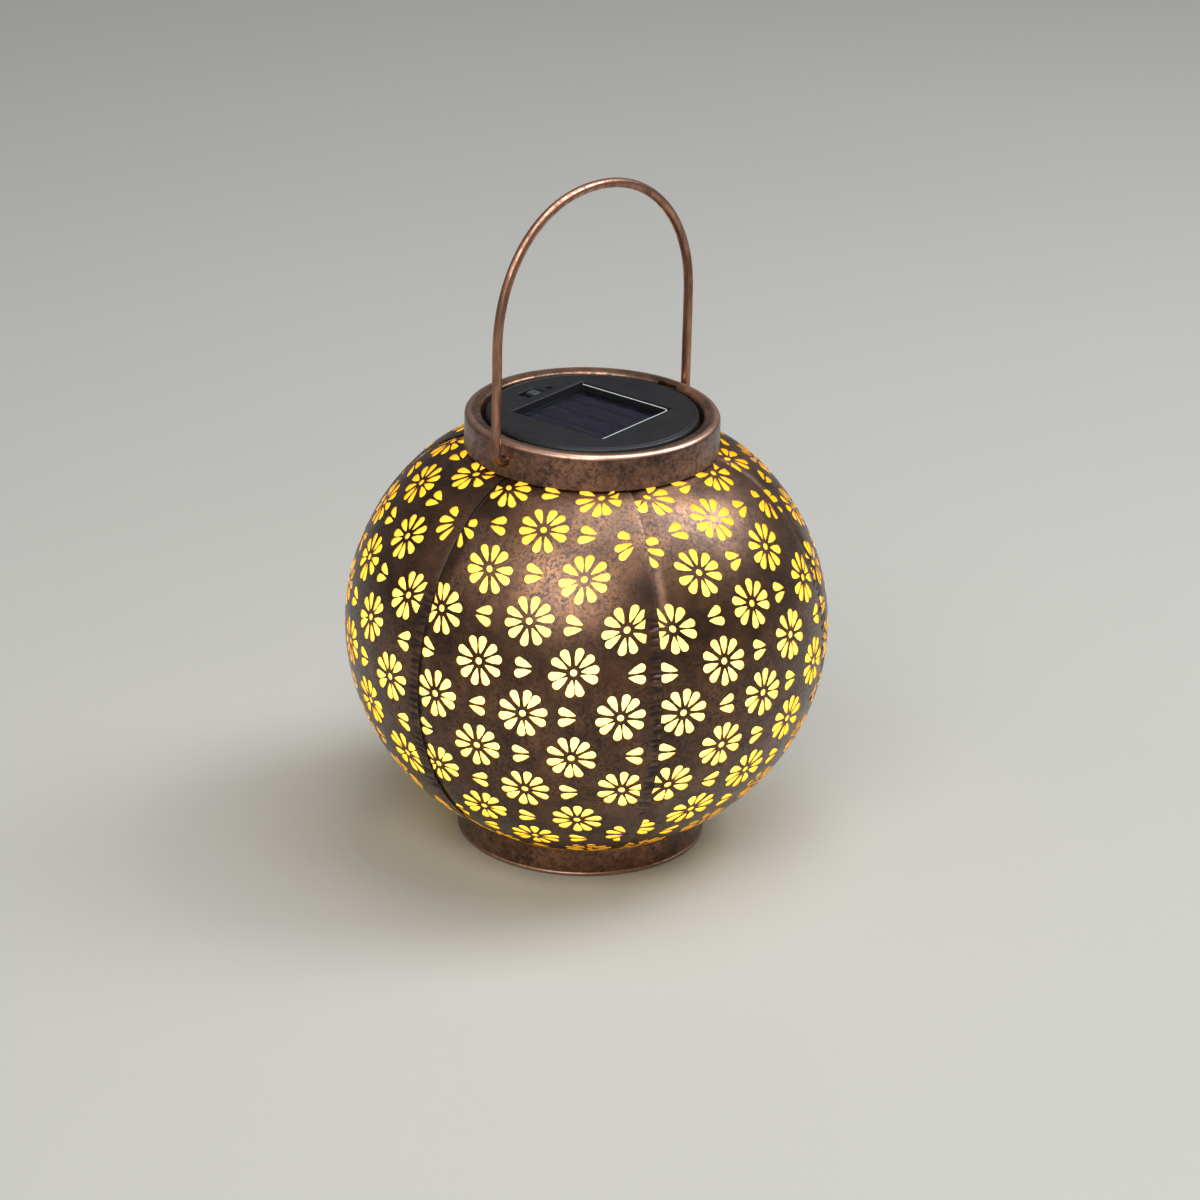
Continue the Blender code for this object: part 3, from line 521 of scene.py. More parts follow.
class Globe:
    """The globe's outer face, by azimuth and by distance along a meridian from the equator."""

    def __init__(self):
        angles = np.linspace(-GLOBE_END_ANGLE, GLOBE_END_ANGLE, 800)
        start = math.acos(SHOULDER_START_RADIUS / GLOBE_RADIUS)
        end = math.acos(RING_RADIUS / GLOBE_RADIUS)
        past = np.clip((angles - start) / (end - start), 0.0, None)
        self.radii = GLOBE_RADIUS * np.cos(angles)
        self.heights = GLOBE_CENTRE_Z + GLOBE_POLAR * np.sin(angles) - SHOULDER_DROP * past ** 2
        steps = np.hypot(np.diff(self.radii), np.diff(self.heights))
        along = np.concatenate([[0.0], np.cumsum(steps)])
        self.along = along - np.interp(0.0, angles, along)
        self.out_radius = np.gradient(self.heights, self.along)
        self.out_height = -np.gradient(self.radii, self.along)

    def half_width(self, along):
        """Half a gore's width, flat, at a distance from the equator."""
        return np.interp(along, self.along, self.radii) * GORE_HALF_ANGLE

    def place(self, across, along, lift, middle):
        """Flat gore coordinates, and a distance off the surface, to points in space."""
        radius = np.interp(along, self.along, self.radii)
        azimuth = middle + across / radius
        outward = radius + lift * np.interp(along, self.along, self.out_radius)
        height = np.interp(along, self.along, self.heights)
        height = height + lift * np.interp(along, self.along, self.out_height)
        return np.stack([outward * np.cos(azimuth), outward * np.sin(azimuth), height], axis=-1)


GLOBE = Globe()
LOW_END = float(GLOBE.along[0])
HIGH_END = float(GLOBE.along[-1])


def petal(centre, aim, width):
    """A teardrop hole whose point is towards a flower's centre."""
    round_radius = 0.5 * width
    round_middle = PETAL_END - round_radius
    waist = 0.5 * (PETAL_START + round_middle)
    side = [(PETAL_START, 0.20 * MM), (waist, 0.36 * width)]
    outline = side + arc((round_middle, 0.0), round_radius, 84.0, -84.0, 8)
    outline += [(out, -across) for out, across in reversed(side)]
    out_x, out_y = math.sin(aim), math.cos(aim)
    return [(centre[0] + out * out_x + across * out_y, centre[1] + out * out_y - across * out_x)
            for out, across in outline]


def petal_aims(chance):
    """The ten petals' directions in degrees, each a little out of true but clear of the next."""
    aims = [angle + chance.uniform(-5.0, 5.0) for angle in PETAL_ANGLES]
    for index in range(1, len(aims)):
        aims[index] = max(aims[index], aims[index - 1] + LEAST_PETAL_GAP)
    aims[0] = max(aims[0], aims[-1] - 360.0 + LEAST_PETAL_GAP)
    return aims


def flower_holes(centre, chance):
    """A daisy: ten petals round a small eye."""
    holes = [arc(centre, EYE_RADIUS, 0.0, 330.0, 11)]
    for aim in petal_aims(chance):
        width = PETAL_WIDTH + chance.uniform(-0.2, 0.1) * MM
        holes.append(petal(centre, math.radians(aim), width))
    return holes


def pair_holes(centre, tip_side, chance):
    """Two petals side by side, their points towards one side."""
    aim = -0.5 * math.pi * tip_side + math.radians(chance.uniform(-6.0, 6.0))
    reach = 0.5 * (PETAL_START + PETAL_END)
    origin = (centre[0] - reach * math.sin(aim), centre[1] - reach * math.cos(aim))
    return [petal(origin, aim + turn, PETAL_WIDTH) for turn in (-PAIR_HALF_ANGLE, PAIR_HALF_ANGLE)]


def gore_holes(chance):
    """Every hole in one gore, in its flat coordinates."""
    holes = []
    shift = (chance.uniform(-0.6, 0.6) * MM, chance.uniform(-0.8, 0.8) * MM)
    for column in range(COLUMN_COUNT):
        x = COLUMN_START + column * COLUMN_PITCH + shift[0]
        squeeze = 1.0 - EDGE_ROW_SQUEEZE * (x / COLUMN_START) ** 2
        for row in range(-ROW_COUNT, ROW_COUNT + 1):
            centre = (x, row * ROW_PITCH * squeeze + shift[1])
            if (row + column) % 2:
                shifted = (centre[0] + PAIR_SHIFTS[column], centre[1])
                holes += pair_holes(shifted, PAIR_TIP_SIDES[column], chance)
            else:
                holes += flower_holes(centre, chance)
    trimmed = [trim_hole(hole) for hole in holes]
    return [hole for hole in trimmed if hole]


def trim_hole(hole):
    """Stop a hole at the lapped seam on either side and short of the gore's ends, or leave it out."""
    middle_y = sum(y for _, y in hole) / len(hole)
    if not LOW_END + 2.5 * MM < middle_y < HIGH_END - 2.5 * MM:
        return None
    half = float(GLOBE.half_width(middle_y))
    least = -half + 0.25 * MM
    most = half - CRIMP_WIDTH
    inside = [x for x, _ in hole if least < x < most]
    if len(inside) < 3:
        return None
    low = LOW_END + 1.0 * MM
    high = HIGH_END - 1.0 * MM
    trimmed = [(min(max(x, least), most), min(max(y, low), high)) for x, y in hole]
    span = max(x for x, _ in trimmed) - min(x for x, _ in trimmed)
    return trimmed if span > LEAST_HOLE_SPAN else None


def fill_between(border, holes, extra):
    """Triangles that fill a flat border and leave its holes open, through extra points inside."""
    rings = [border] + holes
    points = [point for ring in rings for point in ring] + extra
    edges = []
    first = 0
    for ring in rings:
        edges += [(first + step, first + (step + 1) % len(ring)) for step in range(len(ring))]
        first += len(ring)
    flat = delaunay_2d_cdt([Vector(point) for point in points], edges, [], 0, 0.001 * MM)
    places = np.array([tuple(point) for point in flat[0]])
    triangles = np.array(flat[2])
    middles = places[triangles].mean(axis=1)
    wanted = is_inside(middles, border)
    for hole in holes:
        wanted &= ~is_inside(middles, hole)
    return places, [tuple(triangle) for triangle in triangles[wanted].tolist()]


def is_inside(points, ring):
    """Which of the points lie inside a closed outline."""
    x, y = points.T
    inside = np.zeros(len(points), bool)
    for (start_x, start_y), (end_x, end_y) in zip(ring, ring[1:] + ring[:1]):
        if start_y == end_y:
            continue
        crosses = (start_y > y) != (end_y > y)
        inside ^= crosses & (x < start_x + (end_x - start_x) * (y - start_y) / (end_y - start_y))
    return inside


def spread(start, end, step):
    """Evenly spaced numbers from start to end, about a step apart."""
    return np.linspace(start, end, max(2, int(round(abs(end - start) / step)) + 1))


def gore_border():
    """The flat outline of a gore: its right edge on the seam, its left edge tucked past the other seam."""
    right = [(float(GLOBE.half_width(y)), y) for y in spread(LOW_END, HIGH_END, EDGE_STEP)]
    left = [(-float(GLOBE.half_width(y)) - LAP_WIDTH, y) for y in spread(LOW_END, HIGH_END, GRID_STEP)]
    low = [(x, LOW_END) for x in spread(left[0][0], right[0][0], GRID_STEP)[1:-1]]
    high = [(x, HIGH_END) for x in spread(right[-1][0], left[-1][0], GRID_STEP)[1:-1]]
    return low + right + high + left[::-1]


def gore_grid(holes):
    """Points inside a gore, closer together along its crimped edge and its tucked edge."""
    boxes = np.array([[*np.min(hole, axis=0), *np.max(hole, axis=0)] for hole in holes])
    margin = 0.3 * GRID_STEP
    points = []
    for y in spread(LOW_END, HIGH_END, GRID_STEP)[1:-1]:
        half = float(GLOBE.half_width(y))
        for x in spread(-half + LAP_EASE, half - CRIMP_WIDTH, GRID_STEP):
            in_box = (boxes[:, 0] < x + margin) & (boxes[:, 2] > x - margin)
            in_box &= (boxes[:, 1] < y + margin) & (boxes[:, 3] > y - margin)
            if not in_box.any():
                points.append((x, y))
    for y in spread(LOW_END, HIGH_END, EDGE_STEP)[1:-1]:
        half = float(GLOBE.half_width(y))
        points += [(half - WEAR_AND_HIGHLIGHT_WIDTH, y)]
        points += [(half - share * CRIMP_WIDTH, y) for share in (0.22, 0.38, 0.56, 0.78)]
    for y in spread(LOW_END, HIGH_END, 2.0 * EDGE_STEP)[1:-1]:
        half = float(GLOBE.half_width(y))
        points += [(CREVICE_WIDTH - half, y)]
        points += [(-half + share * LAP_EASE, y) for share in (-0.5, -0.02, 0.25, 0.45, 0.7)]
    return points


def crimp_creases(chance):
    """Creases pressed along a gore's right edge: height, depth, reach, slope and half-thickness of each."""
    creases = []
    y = CRIMP_LOW
    while y < CRIMP_HIGH:
        depth = chance.uniform(*CRIMP_DEPTHS)
        reach = chance.uniform(0.6, 1.35) * CRIMP_WIDTH
        creases.append((y, depth, reach, chance.uniform(-0.22, 0.22), chance.uniform(0.5, 0.95) * MM))
        y += chance.uniform(*CRIMP_SPACING)
    return creases


def crimp_press(x, y, creases):
    """How deep each point is pressed in by the creases along the right edge."""
    half = GLOBE.half_width(y)
    pressed = np.zeros(len(x))
    for height, depth, reach, slope, thickness in creases:
        across = x - half + reach
        entry = np.clip(across / (0.45 * reach), 0.0, 1.0)
        crease = np.exp(-((y - height - slope * across) / thickness) ** 2)
        pressed = np.maximum(pressed, depth * entry * crease)
    return pressed


def gore_lift(x, y, phase, pressed):
    """How far the sheet stands off the globe's outer face: crimped on the right, tucked on the left."""
    tucked = np.clip((x + GLOBE.half_width(y)) / LAP_EASE, 0.0, 1.0)
    tucked = tucked * tucked * (3.0 - 2.0 * tucked)
    uneven = 0.5 + 0.25 * np.sin(x / (9.0 * MM) + 2.0 * phase) + 0.25 * np.sin(y / (11.0 * MM) + phase)
    return -LAP_DEPTH * (1.0 - tucked) - pressed - 0.25 * MM * uneven


def store_wear_shade_and_highlight(piece, x, y, pressed):
    """Write each outer point's grime with painted shade, and its wear with painted highlight, from its depth
    in a crease and its distance to the seams.
    """
    half = GLOBE.half_width(y)
    crimped = np.clip((x - half + CRIMP_WIDTH) / CRIMP_WIDTH, 0.0, 1.0) * (y > CRIMP_LOW) * (y < CRIMP_HIGH)
    # Grime and painted shade: darker deep in the creases, and on the tucked sheet near the left seam, where
    # shade falls under the lap.
    dirt_and_shade = np.clip(pressed / (0.30 * MM), 0.0, 0.9)
    dirt_and_shade = np.maximum(dirt_and_shade, 0.7 * np.exp(-np.clip(x + half, 0.0, None) / (1.6 * MM)))
    # Wear and painted highlight: lighter on the crests between creases and in a strip along the right edge,
    # where light catches the sheet.
    wear_and_highlight = 0.26 * crimped * np.clip(1.0 - pressed / (0.12 * MM), 0.0, 1.0)
    wear_and_highlight = np.maximum(wear_and_highlight, 0.20 * (x > half - 2.0 * WEAR_AND_HIGHLIGHT_WIDTH))
    for name, values in (("dirt_and_shade", dirt_and_shade), ("wear_and_highlight", wear_and_highlight)):
        layer = piece.data.attributes.new(name, "FLOAT", "POINT")
        layer.data.foreach_set("value", np.concatenate([values, np.zeros(len(x))]))


def outer_slots(x, y, triangles):
    """Material slots on a gore's outer face: copper, and a painted shadow in the seam along its left edge.
    """
    middle_x = x[triangles].mean(axis=1)
    half = GLOBE.half_width(y[triangles].mean(axis=1))
    slots = np.full(len(triangles), OUTER_SLOT)
    slots[middle_x < CREVICE_WIDTH - half] = SEAM_SLOT
    return slots.tolist()


def make_gore(index, materials):
    """One punched, lapped and crimped panel of the globe."""
    chance = random.Random(SEED + index)
    holes = gore_holes(chance)
    border = gore_border()
    places, sheet = fill_between(border, holes, gore_grid(holes))
    x, y = places.T
    middle = math.tau * (index + 0.5) / GORE_COUNT
    pressed = crimp_press(x, y, crimp_creases(chance))
    lift = gore_lift(x, y, 1.7 * index, pressed)
    outer = GLOBE.place(x, y, lift, middle)
    inner = GLOBE.place(x, y, lift - SHEET, middle)
    count = len(x)
    edges = {(triangle[turn], triangle[(turn + 1) % 3]) for triangle in sheet for turn in range(3)}
    rims = sorted(pair for pair in edges if pair[::-1] not in edges)
    faces = [list(triangle) for triangle in sheet]
    faces += [[count + corner for corner in triangle[::-1]] for triangle in sheet]
    faces += [(end, start, count + start, count + end) for start, end in rims]
    slots = outer_slots(x, y, np.array(sheet)) + [INNER_SLOT] * len(sheet)
    # The sheet's outline edges take the seam's painted shadow; the holes' cut walls take their painted glow.
    slots += [SEAM_SLOT if max(start, end) < len(border) else CUT_SLOT for start, end in rims]
    piece = add_mesh(f"punched_gore_{index + 1}", np.concatenate([outer, inner]), faces, materials, slots)
    store_wear_shade_and_highlight(piece, x, y, pressed)
    drop_loose_points(piece)
    return keep(piece, BODY, "aged_copper", f"globe_gore_{index + 1}")


def drop_loose_points(piece):
    """Delete the points inside holes, which no face uses."""
    bm = bmesh.new()
    bm.from_mesh(piece.data)
    bmesh.ops.delete(bm, geom=[vertex for vertex in bm.verts if not vertex.link_faces], context="VERTS")
    bm.to_mesh(piece.data)
    bm.free()
    finish_shading(piece.data)


def make_film(material):
    """The translucent film inside the gores: one thin turned skin, slightly slack."""
    along = np.linspace(LOW_END, HIGH_END, 60)
    outer = GLOBE.place(np.zeros(len(along)), along, -FILM_DEPTH, 0.0)
    inner = GLOBE.place(np.zeros(len(along)), along, -FILM_DEPTH - FILM_SHEET, 0.0)
    section = [(float(x), float(z)) for x, _, z in outer] + [(float(x), float(z)) for x, _, z in inner[::-1]]
    film = turned("amber_film_painted_glow", section, 144, material, film_slack)
    return keep(film, BODY, "liner_film", "globe_liner")


def film_slack(angle, height):
    """How far the film has slumped away from the sheet, in broad shallow waves."""
    return 0.18 * MM * (1.0 + math.sin(5.0 * angle + height / (17.0 * MM)) * math.sin(height / (13.0 * MM)))


# ---------------------------------------------------------------- collar, foot and bail

def collar_section():
    """The collar's wall in section: up the outside, over the rolled rim, down the lip, out on the shelf."""
    low_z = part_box("top_collar")[0].z
    rim_radius = 2.3 * MM
    rim_centre = (RING_RADIUS - rim_radius, COLLAR_TOP_Z - rim_radius)
    lip_round = 1.2 * MM
    lip_inset = COLLAR_LIP_RADIUS + lip_round
    lip_top = COLLAR_TOP_Z - 0.5 * MM
    section = [(RING_RADIUS, low_z), (RING_RADIUS, low_z + 0.5 * (COLLAR_TOP_Z - low_z))]
    section += arc(rim_centre, rim_radius, 0.0, 90.0, 8)
    section += [(lip_inset + 1.5 * MM, COLLAR_TOP_Z - 0.15 * MM)]
    section += arc((lip_inset, lip_top - lip_round), lip_round, 90.0, 180.0, 6)
    section += [(COLLAR_LIP_RADIUS, SHELF_Z), (SHELF_RADIUS, SHELF_Z)]
    section += [(SHELF_RADIUS, SHELF_Z - RING_WALL), (COLLAR_LIP_RADIUS + RING_WALL, SHELF_Z - RING_WALL)]
    section += arc((lip_inset + 0.2 * MM, lip_top - 1.6 * MM), 0.5 * MM, 180.0, 90.0, 3)
    section += arc(rim_centre, rim_radius - RING_WALL, 90.0, 0.0, 6)
    section += [(RING_RADIUS - RING_WALL, low_z)]
    return section


def make_collar(material):
    """The top ring, with a hole for each of the bail's ends and a notch in the lip above it."""
    collar = turned("rolled_collar", collar_section(), 192, material, collar_wobble)
    hole_radius = 2.6 * MM
    notch_half = 5.0 * MM
    cutters = []
    for side in (-1.0, 1.0):
        inner_x = side * (COLLAR_LIP_RADIUS + 2.4 * MM)
        cutters.append(sideways_rod(hole_radius, inner_x, side * (RING_RADIUS + 1.0 * MM), PIVOT_Z))
        notch_x = sorted((side * (COLLAR_LIP_RADIUS - 1.0 * MM), side * (COLLAR_LIP_RADIUS + 1.1 * MM)))
        notch_low = (notch_x[0], -notch_half, COLLAR_TOP_Z - 3.2 * MM)
        cutters.append(box_solid(notch_low, (notch_x[1], notch_half, COLLAR_TOP_Z + 1.0 * MM)))
    cut_away(collar, cutters)
    return keep(collar, BODY, "aged_copper", "top_collar")


def collar_wobble(angle, height):
    """Small hand-made unevenness, inwards only."""
    return 0.10 * MM * (1.0 + math.sin(3.0 * angle + 0.5) * math.sin(2.0 * angle + height / (3.0 * MM)))


def make_foot(material):
    """The foot ring, with its rolled bead at the floor."""
    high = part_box("foot_ring")[1]
    inner = FOOT_RADIUS - RING_WALL
    neck_z = 2.2 * MM
    top_radius = high.x - 0.1 * MM
    section = [(inner, 0.0)] + arc((FOOT_RADIUS - 0.5 * MM, FOOT_BEAD), FOOT_BEAD, -90.0, 60.0, 8)
    section += [(FOOT_RADIUS, neck_z), (FOOT_RADIUS + 0.3 * MM, 6.0 * MM), (top_radius, high.z)]
    section += [(top_radius - RING_WALL, high.z - 0.5 * MM), (inner, neck_z)]
    foot = turned("beaded_foot", section, 192, material, collar_wobble)
    return keep(foot, BODY, "aged_copper", "foot_ring")


def bail_route():
    """The bail's centre line from hook to hook, in the XZ plane through its pivots.

    Its arch is a little squarer than a half ellipse, and the whole wire leans slightly to one side.
    """
    leg_x = 56.9 * MM
    leg_height = 46.7 * MM
    arch_height = 57.75 * MM
    arch_power = 2.0 / 2.1
    arch_steps = 56
    hook_radius = 4.7 * MM
    lean = 3.9 * MM
    side = [(48.8 * MM, 0.0), (50.5 * MM, 0.0)]
    side += arc((leg_x - hook_radius, hook_radius), hook_radius, -90.0, 0.0, 8)
    for share in (0.2, 0.4, 0.6, 0.8):
        side.append((leg_x, hook_radius + (leg_height - hook_radius) * share))
    arch = []
    for step in range(arch_steps + 1):
        angle = math.pi * step / arch_steps
        across = math.copysign(abs(math.cos(angle)) ** arch_power * leg_x, math.cos(angle))
        arch.append((across, leg_height + arch_height * abs(math.sin(angle)) ** arch_power))
    total = leg_height + arch_height
    outline = side + arch + [(-across, height) for across, height in reversed(side)]
    return [Vector((across - lean * (height / total) ** 3, 0.0, PIVOT_Z + height))
            for across, height in outline]


def bail_sections(index, last):
    """How far along and how wide the wire's rings stand at one point: several where an end rounds off."""
    rounding = ((0.45, 0.35), (0.35, 0.75), (0.15, 0.94), (0.0, 1.0))
    if index == 0:
        return [(-along, share) for along, share in rounding]
    if index == last:
        return list(rounding[::-1])
    return [(0.0, 1.0)]


def make_bail(material):
    """The wire bail, its ends rounded off."""
    radius = 1.96 * MM
    end_length = 1.0 * MM
    sides = 24
    route = bail_route()
    last = len(route) - 1
    across = Vector((0.0, 1.0, 0.0))
    vertices = []
    rings = []
    for index, point in enumerate(route):
        tangent = (route[min(last, index + 1)] - route[max(0, index - 1)]).normalized()
        normal = across.cross(tangent)
        for along, share in bail_sections(index, last):
            rings.append(len(vertices))
            for step in range(sides):
                angle = math.tau * step / sides
                around = math.cos(angle) * across + math.sin(angle) * normal
                vertices.append(point + radius * share * around + end_length * along * tangent)
    bail = clean(add_mesh("bent_bail", vertices, tube_faces(rings, sides), [material]))
    return keep(bail, "handle", "copper_wire", "bail_handle")


# ---------------------------------------------------------------- the solar module

def rounded_square(centre, half_x, half_y, corner):
    """A rectangle with rounded corners, as flat points."""
    points = []
    for turn, (side_x, side_y) in enumerate(((1, 1), (-1, 1), (-1, -1), (1, -1))):
        middle = (centre[0] + side_x * (half_x - corner), centre[1] + side_y * (half_y - corner))
        points += arc(middle, corner, 90.0 * turn, 90.0 * turn + 90.0, 6)
    return points


def circle(radius, steps, centre=(0.0, 0.0)):
    return arc(centre, radius, 0.0, 360.0 - 360.0 / steps, steps - 1)


class Shell:
    """Collects rings of points and the faces between them."""

    def __init__(self):
        self.vertices = []
        self.faces = []

    def ring(self, points, height):
        first = len(self.vertices)
        self.vertices += [(x, y, height) for x, y in points]
        return list(range(first, len(self.vertices)))

    def walls(self, rings):
        for here, there in zip(rings, rings[1:]):
            for step in range(len(here)):
                following = (step + 1) % len(here)
                self.faces.append((here[step], here[following], there[following], there[step]))

    def flat(self, outer, holes):
        """Fill between an outer ring and the rings of holes in it, all at one height."""
        rings = [outer] + holes
        outlines = [[self.vertices[index][:2] for index in ring] for ring in rings]
        height = self.vertices[outer[0]][2]
        places, triangles = fill_between(outlines[0], outlines[1:], [])
        first = len(self.vertices)
        self.vertices += [(x, y, height) for x, y in places.tolist()]
        self.faces += [[first + corner for corner in triangle] for triangle in triangles]

    def cap(self, ring):
        self.faces.append(list(ring))

    def piece(self, name, material):
        return clean(add_mesh(name, self.vertices, self.faces, [material]))


def cover_rim(shell, ceiling):
    """The cover's outside, from a fine groove near its rounded edge, down the skirt and up inside it."""
    low_z = float(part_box("module_cover")[0].z)
    steps = 180
    edge = 1.4 * MM
    groove = ((2.3, 0.0), (2.0, 0.22), (1.7, 0.0))
    outside = [(COVER_RADIUS - inset * MM, drop * MM) for inset, drop in groove]
    outside += [(COVER_RADIUS - edge + edge * math.sin(angle), edge - edge * math.cos(angle))
                for angle in [0.5 * math.pi * step / 6 for step in range(7)]]
    rings = [shell.ring(circle(radius, steps), COVER_TOP_Z - drop) for radius, drop in outside]
    inner = COVER_RADIUS - 2.2 * MM
    for radius, height in ((COVER_RADIUS, low_z), (inner, low_z), (inner, ceiling)):
        rings.append(shell.ring(circle(radius, steps), height))
    return rings


def cover_window(shell, ceiling):
    """The window's bevelled edge, its walls, and the tray under it that holds the panel."""
    floor = COVER_TOP_Z - WINDOW_DEPTH
    tray_low = floor - 1.0 * MM
    tray_wall = 1.5 * MM
    bevel = ((0.7, 0.0), (0.35, 0.1), (0.1, 0.35), (0.0, 0.8))
    rings = [shell.ring(window_outline(grow * MM), COVER_TOP_Z - drop * MM) for grow, drop in bevel]
    for grow, height in ((0.0, floor), (-5.0 * MM, floor), (-5.0 * MM, tray_low), (tray_wall, tray_low),
                         (tray_wall, ceiling)):
        rings.append(shell.ring(window_outline(grow), height))
    return rings


def cover_slot(shell, ceiling):
    """The switch's slot through the cover, with a softened edge."""
    steps = ((0.6, 0.0), (0.25, 0.1), (0.0, 0.45))
    rings = [shell.ring(slot_outline(grow * MM), COVER_TOP_Z - drop * MM) for grow, drop in steps]
    return rings + [shell.ring(slot_outline(0.0), ceiling)]


def cover_sensor_hole(shell, ceiling):
    """The light sensor's small hole through the cover, with a softened edge."""
    steps = ((0.35, 0.0), (0.1, 0.1), (0.0, 0.35))
    rings = [shell.ring(circle(SENSOR_RADIUS + grow * MM, 32, SENSOR_CENTRE), COVER_TOP_Z - drop * MM)
             for grow, drop in steps]
    return rings + [shell.ring(circle(SENSOR_RADIUS, 32, SENSOR_CENTRE), ceiling)]


def cover_boss(shell, ceiling, angle):
    """A screw boss under the cover, with its pilot hole."""
    place = (SCREW_CIRCLE * math.cos(math.radians(angle)), SCREW_CIRCLE * math.sin(math.radians(angle)))
    low_z = 178.6 * MM
    pilot_z = 182.6 * MM
    boss = ((3.0 * MM, ceiling), (3.0 * MM, low_z), (1.5 * MM, low_z), (1.5 * MM, pilot_z))
    rings = [shell.ring(circle(radius, 32, place), height) for radius, height in boss]
    shell.cap(rings[-1])
    return rings


def make_cover(material):
    """The round top of the module: rounded edge, bevelled window, switch slot and sensor hole."""
    shell = Shell()
    ceiling = COVER_TOP_Z - 1.8 * MM
    rim = cover_rim(shell, ceiling)
    holes = [make(shell, ceiling) for make in (cover_window, cover_slot, cover_sensor_hole)]
    bosses = [cover_boss(shell, ceiling, angle) for angle in SCREW_ANGLES]
    for rings in [rim] + holes + bosses:
        shell.walls(rings)
    shell.flat(rim[0], [rings[0] for rings in holes])
    shell.flat(rim[-1], [rings[-1] for rings in holes] + [rings[0] for rings in bosses])
    cover = shell.piece("moulded_cover", material)
    cover.data.transform(MODULE_TURN)
    return keep(cover, MODULE, "black_plastic", "module_cover")


def window_outline(grow):
    half = WINDOW_HALF + grow
    return rounded_square(WINDOW_CENTRE, half, half, 1.0 * MM + max(0.0, grow))


def slot_outline(grow):
    return rounded_square(SWITCH_CENTRE, SWITCH_HALF[0] + grow, SWITCH_HALF[1] + grow, 0.8 * MM + grow)


def make_window_edge_highlight(material):
    """A pale bead along two sides of the window and their corner: a painted highlight where the clear face's
    edge catches the light; the other two sides have none.
    """
    half = WINDOW_HALF - 1.0 * MM
    corner = 2.2 * MM
    east = WINDOW_CENTRE[0] + half
    south = WINDOW_CENTRE[1] - half
    route = [(east, WINDOW_CENTRE[1] + half)]
    route += arc((east - corner, south + corner), corner, 0.0, -90.0, 8)
    route += [(WINDOW_CENTRE[0] - half, south)]
    middle = COVER_TOP_Z - 0.9 * MM
    sides = 10
    radius = 0.21 * MM
    vertices = []
    for index, point in enumerate(route):
        ahead = Vector(route[min(index + 1, len(route) - 1)]) - Vector(route[max(index - 1, 0)])
        ahead.normalize()
        for around, height in arc((0.0, 0.0), radius, 0.0, 360.0 - 360.0 / sides, sides - 1):
            vertices.append((point[0] + around * ahead.y, point[1] - around * ahead.x, middle + height))
    faces = tube_faces(range(0, len(vertices), sides), sides)
    bead = clean(add_mesh("window_edge_highlight", vertices, faces, [material]))
    bead.data.transform(MODULE_TURN)
    return keep(bead, MODULE, "clear_resin")


def make_dome(material):
    """The frosted dome over the lamp, with a small flange."""
    low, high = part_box("frosted_dome")
    radius = 0.5 * (high.x - low.x)
    depth = high.z - low.z
    outer = [(radius * math.cos(angle), high.z - depth * math.sin(angle))
             for angle in [0.49 * math.pi * step / 14 for step in range(15)]]
    inner = [(0.86 * away, high.z - 0.84 * (high.z - height)) for away, height in outer]
    dome = turned("frosted_lamp_dome", outer + inner[::-1], 72, material)
    return keep(dome, MODULE, "frosted_plastic", "frosted_dome")


# ---------------------------------------------------------------- stage, light and camera

def make_floor():
    made = Nodes("pale_floor")
    colour = made.mix(made.noise(3.0), (0.325, 0.308, 0.280), (0.305, 0.290, 0.263))
    made.set(Base_Color=colour, Roughness=0.8)
    corners = [(x * FLOOR_HALF, y * FLOOR_HALF, 0.0) for x, y in ((-1, -1), (1, -1), (1, 1), (-1, 1))]
    add_mesh("floor", corners, [(0, 1, 2, 3)], [made.material])


def make_world():
    world = bpy.data.worlds.new("studio")
    world.use_nodes = True
    background = world.node_tree.nodes["Background"]
    background.inputs["Color"].default_value = WORLD_COLOUR
    background.inputs["Strength"].default_value = WORLD_STRENGTH
    bpy.context.scene.world = world


def make_light(name, azimuth, elevation, distance, size, power, colour):
    """A square soft light, aimed at the lantern from an azimuth and an elevation in degrees."""
    lamp = bpy.data.lights.new(name, "AREA")
    lamp.size = size
    lamp.energy = power
    lamp.color = colour
    back = direction(math.radians(azimuth), math.radians(elevation))
    light = bpy.data.objects.new(name, lamp)
    light.location = Vector((0.0, 0.0, GLOBE_CENTRE_Z)) + distance * back
    light.rotation_euler = back.to_track_quat("Z", "Y").to_euler()
    bpy.context.collection.objects.link(light)


def direction(azimuth, elevation):
    """From the lantern towards a viewer: azimuth 0 looks along +Y."""
    return Vector((math.sin(azimuth) * math.cos(elevation), -math.cos(azimuth) * math.cos(elevation),
                   math.sin(elevation)))


def make_camera():
    data = bpy.data.cameras.new("camera")
    data.lens = CAMERA_LENS
    data.shift_x, data.shift_y = CAMERA_SHIFT
    back = direction(CAMERA_AZIMUTH, CAMERA_ELEVATION)
    level = Vector((math.cos(CAMERA_AZIMUTH), math.sin(CAMERA_AZIMUTH), 0.0))
    upright = back.cross(level)
    right = math.cos(CAMERA_ROLL) * level + math.sin(CAMERA_ROLL) * upright
    up = back.cross(right)
    turn = Matrix((right, up, back)).transposed()
    camera = bpy.data.objects.new("camera", data)
    place = Vector((0.0, 0.0, GLOBE_CENTRE_Z)) + CAMERA_DISTANCE * back
    camera.matrix_world = Matrix.Translation(place) @ turn.to_4x4()
    bpy.context.collection.objects.link(camera)
    bpy.context.scene.camera = camera


# ---------------------------------------------------------------- the CAD nodes that stay

def dress(material, *names):
    """Give carried-over CAD nodes a detailed material."""
    for name in names:
        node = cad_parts[name]
        node.data.materials.clear()
        node.data.materials.append(material)


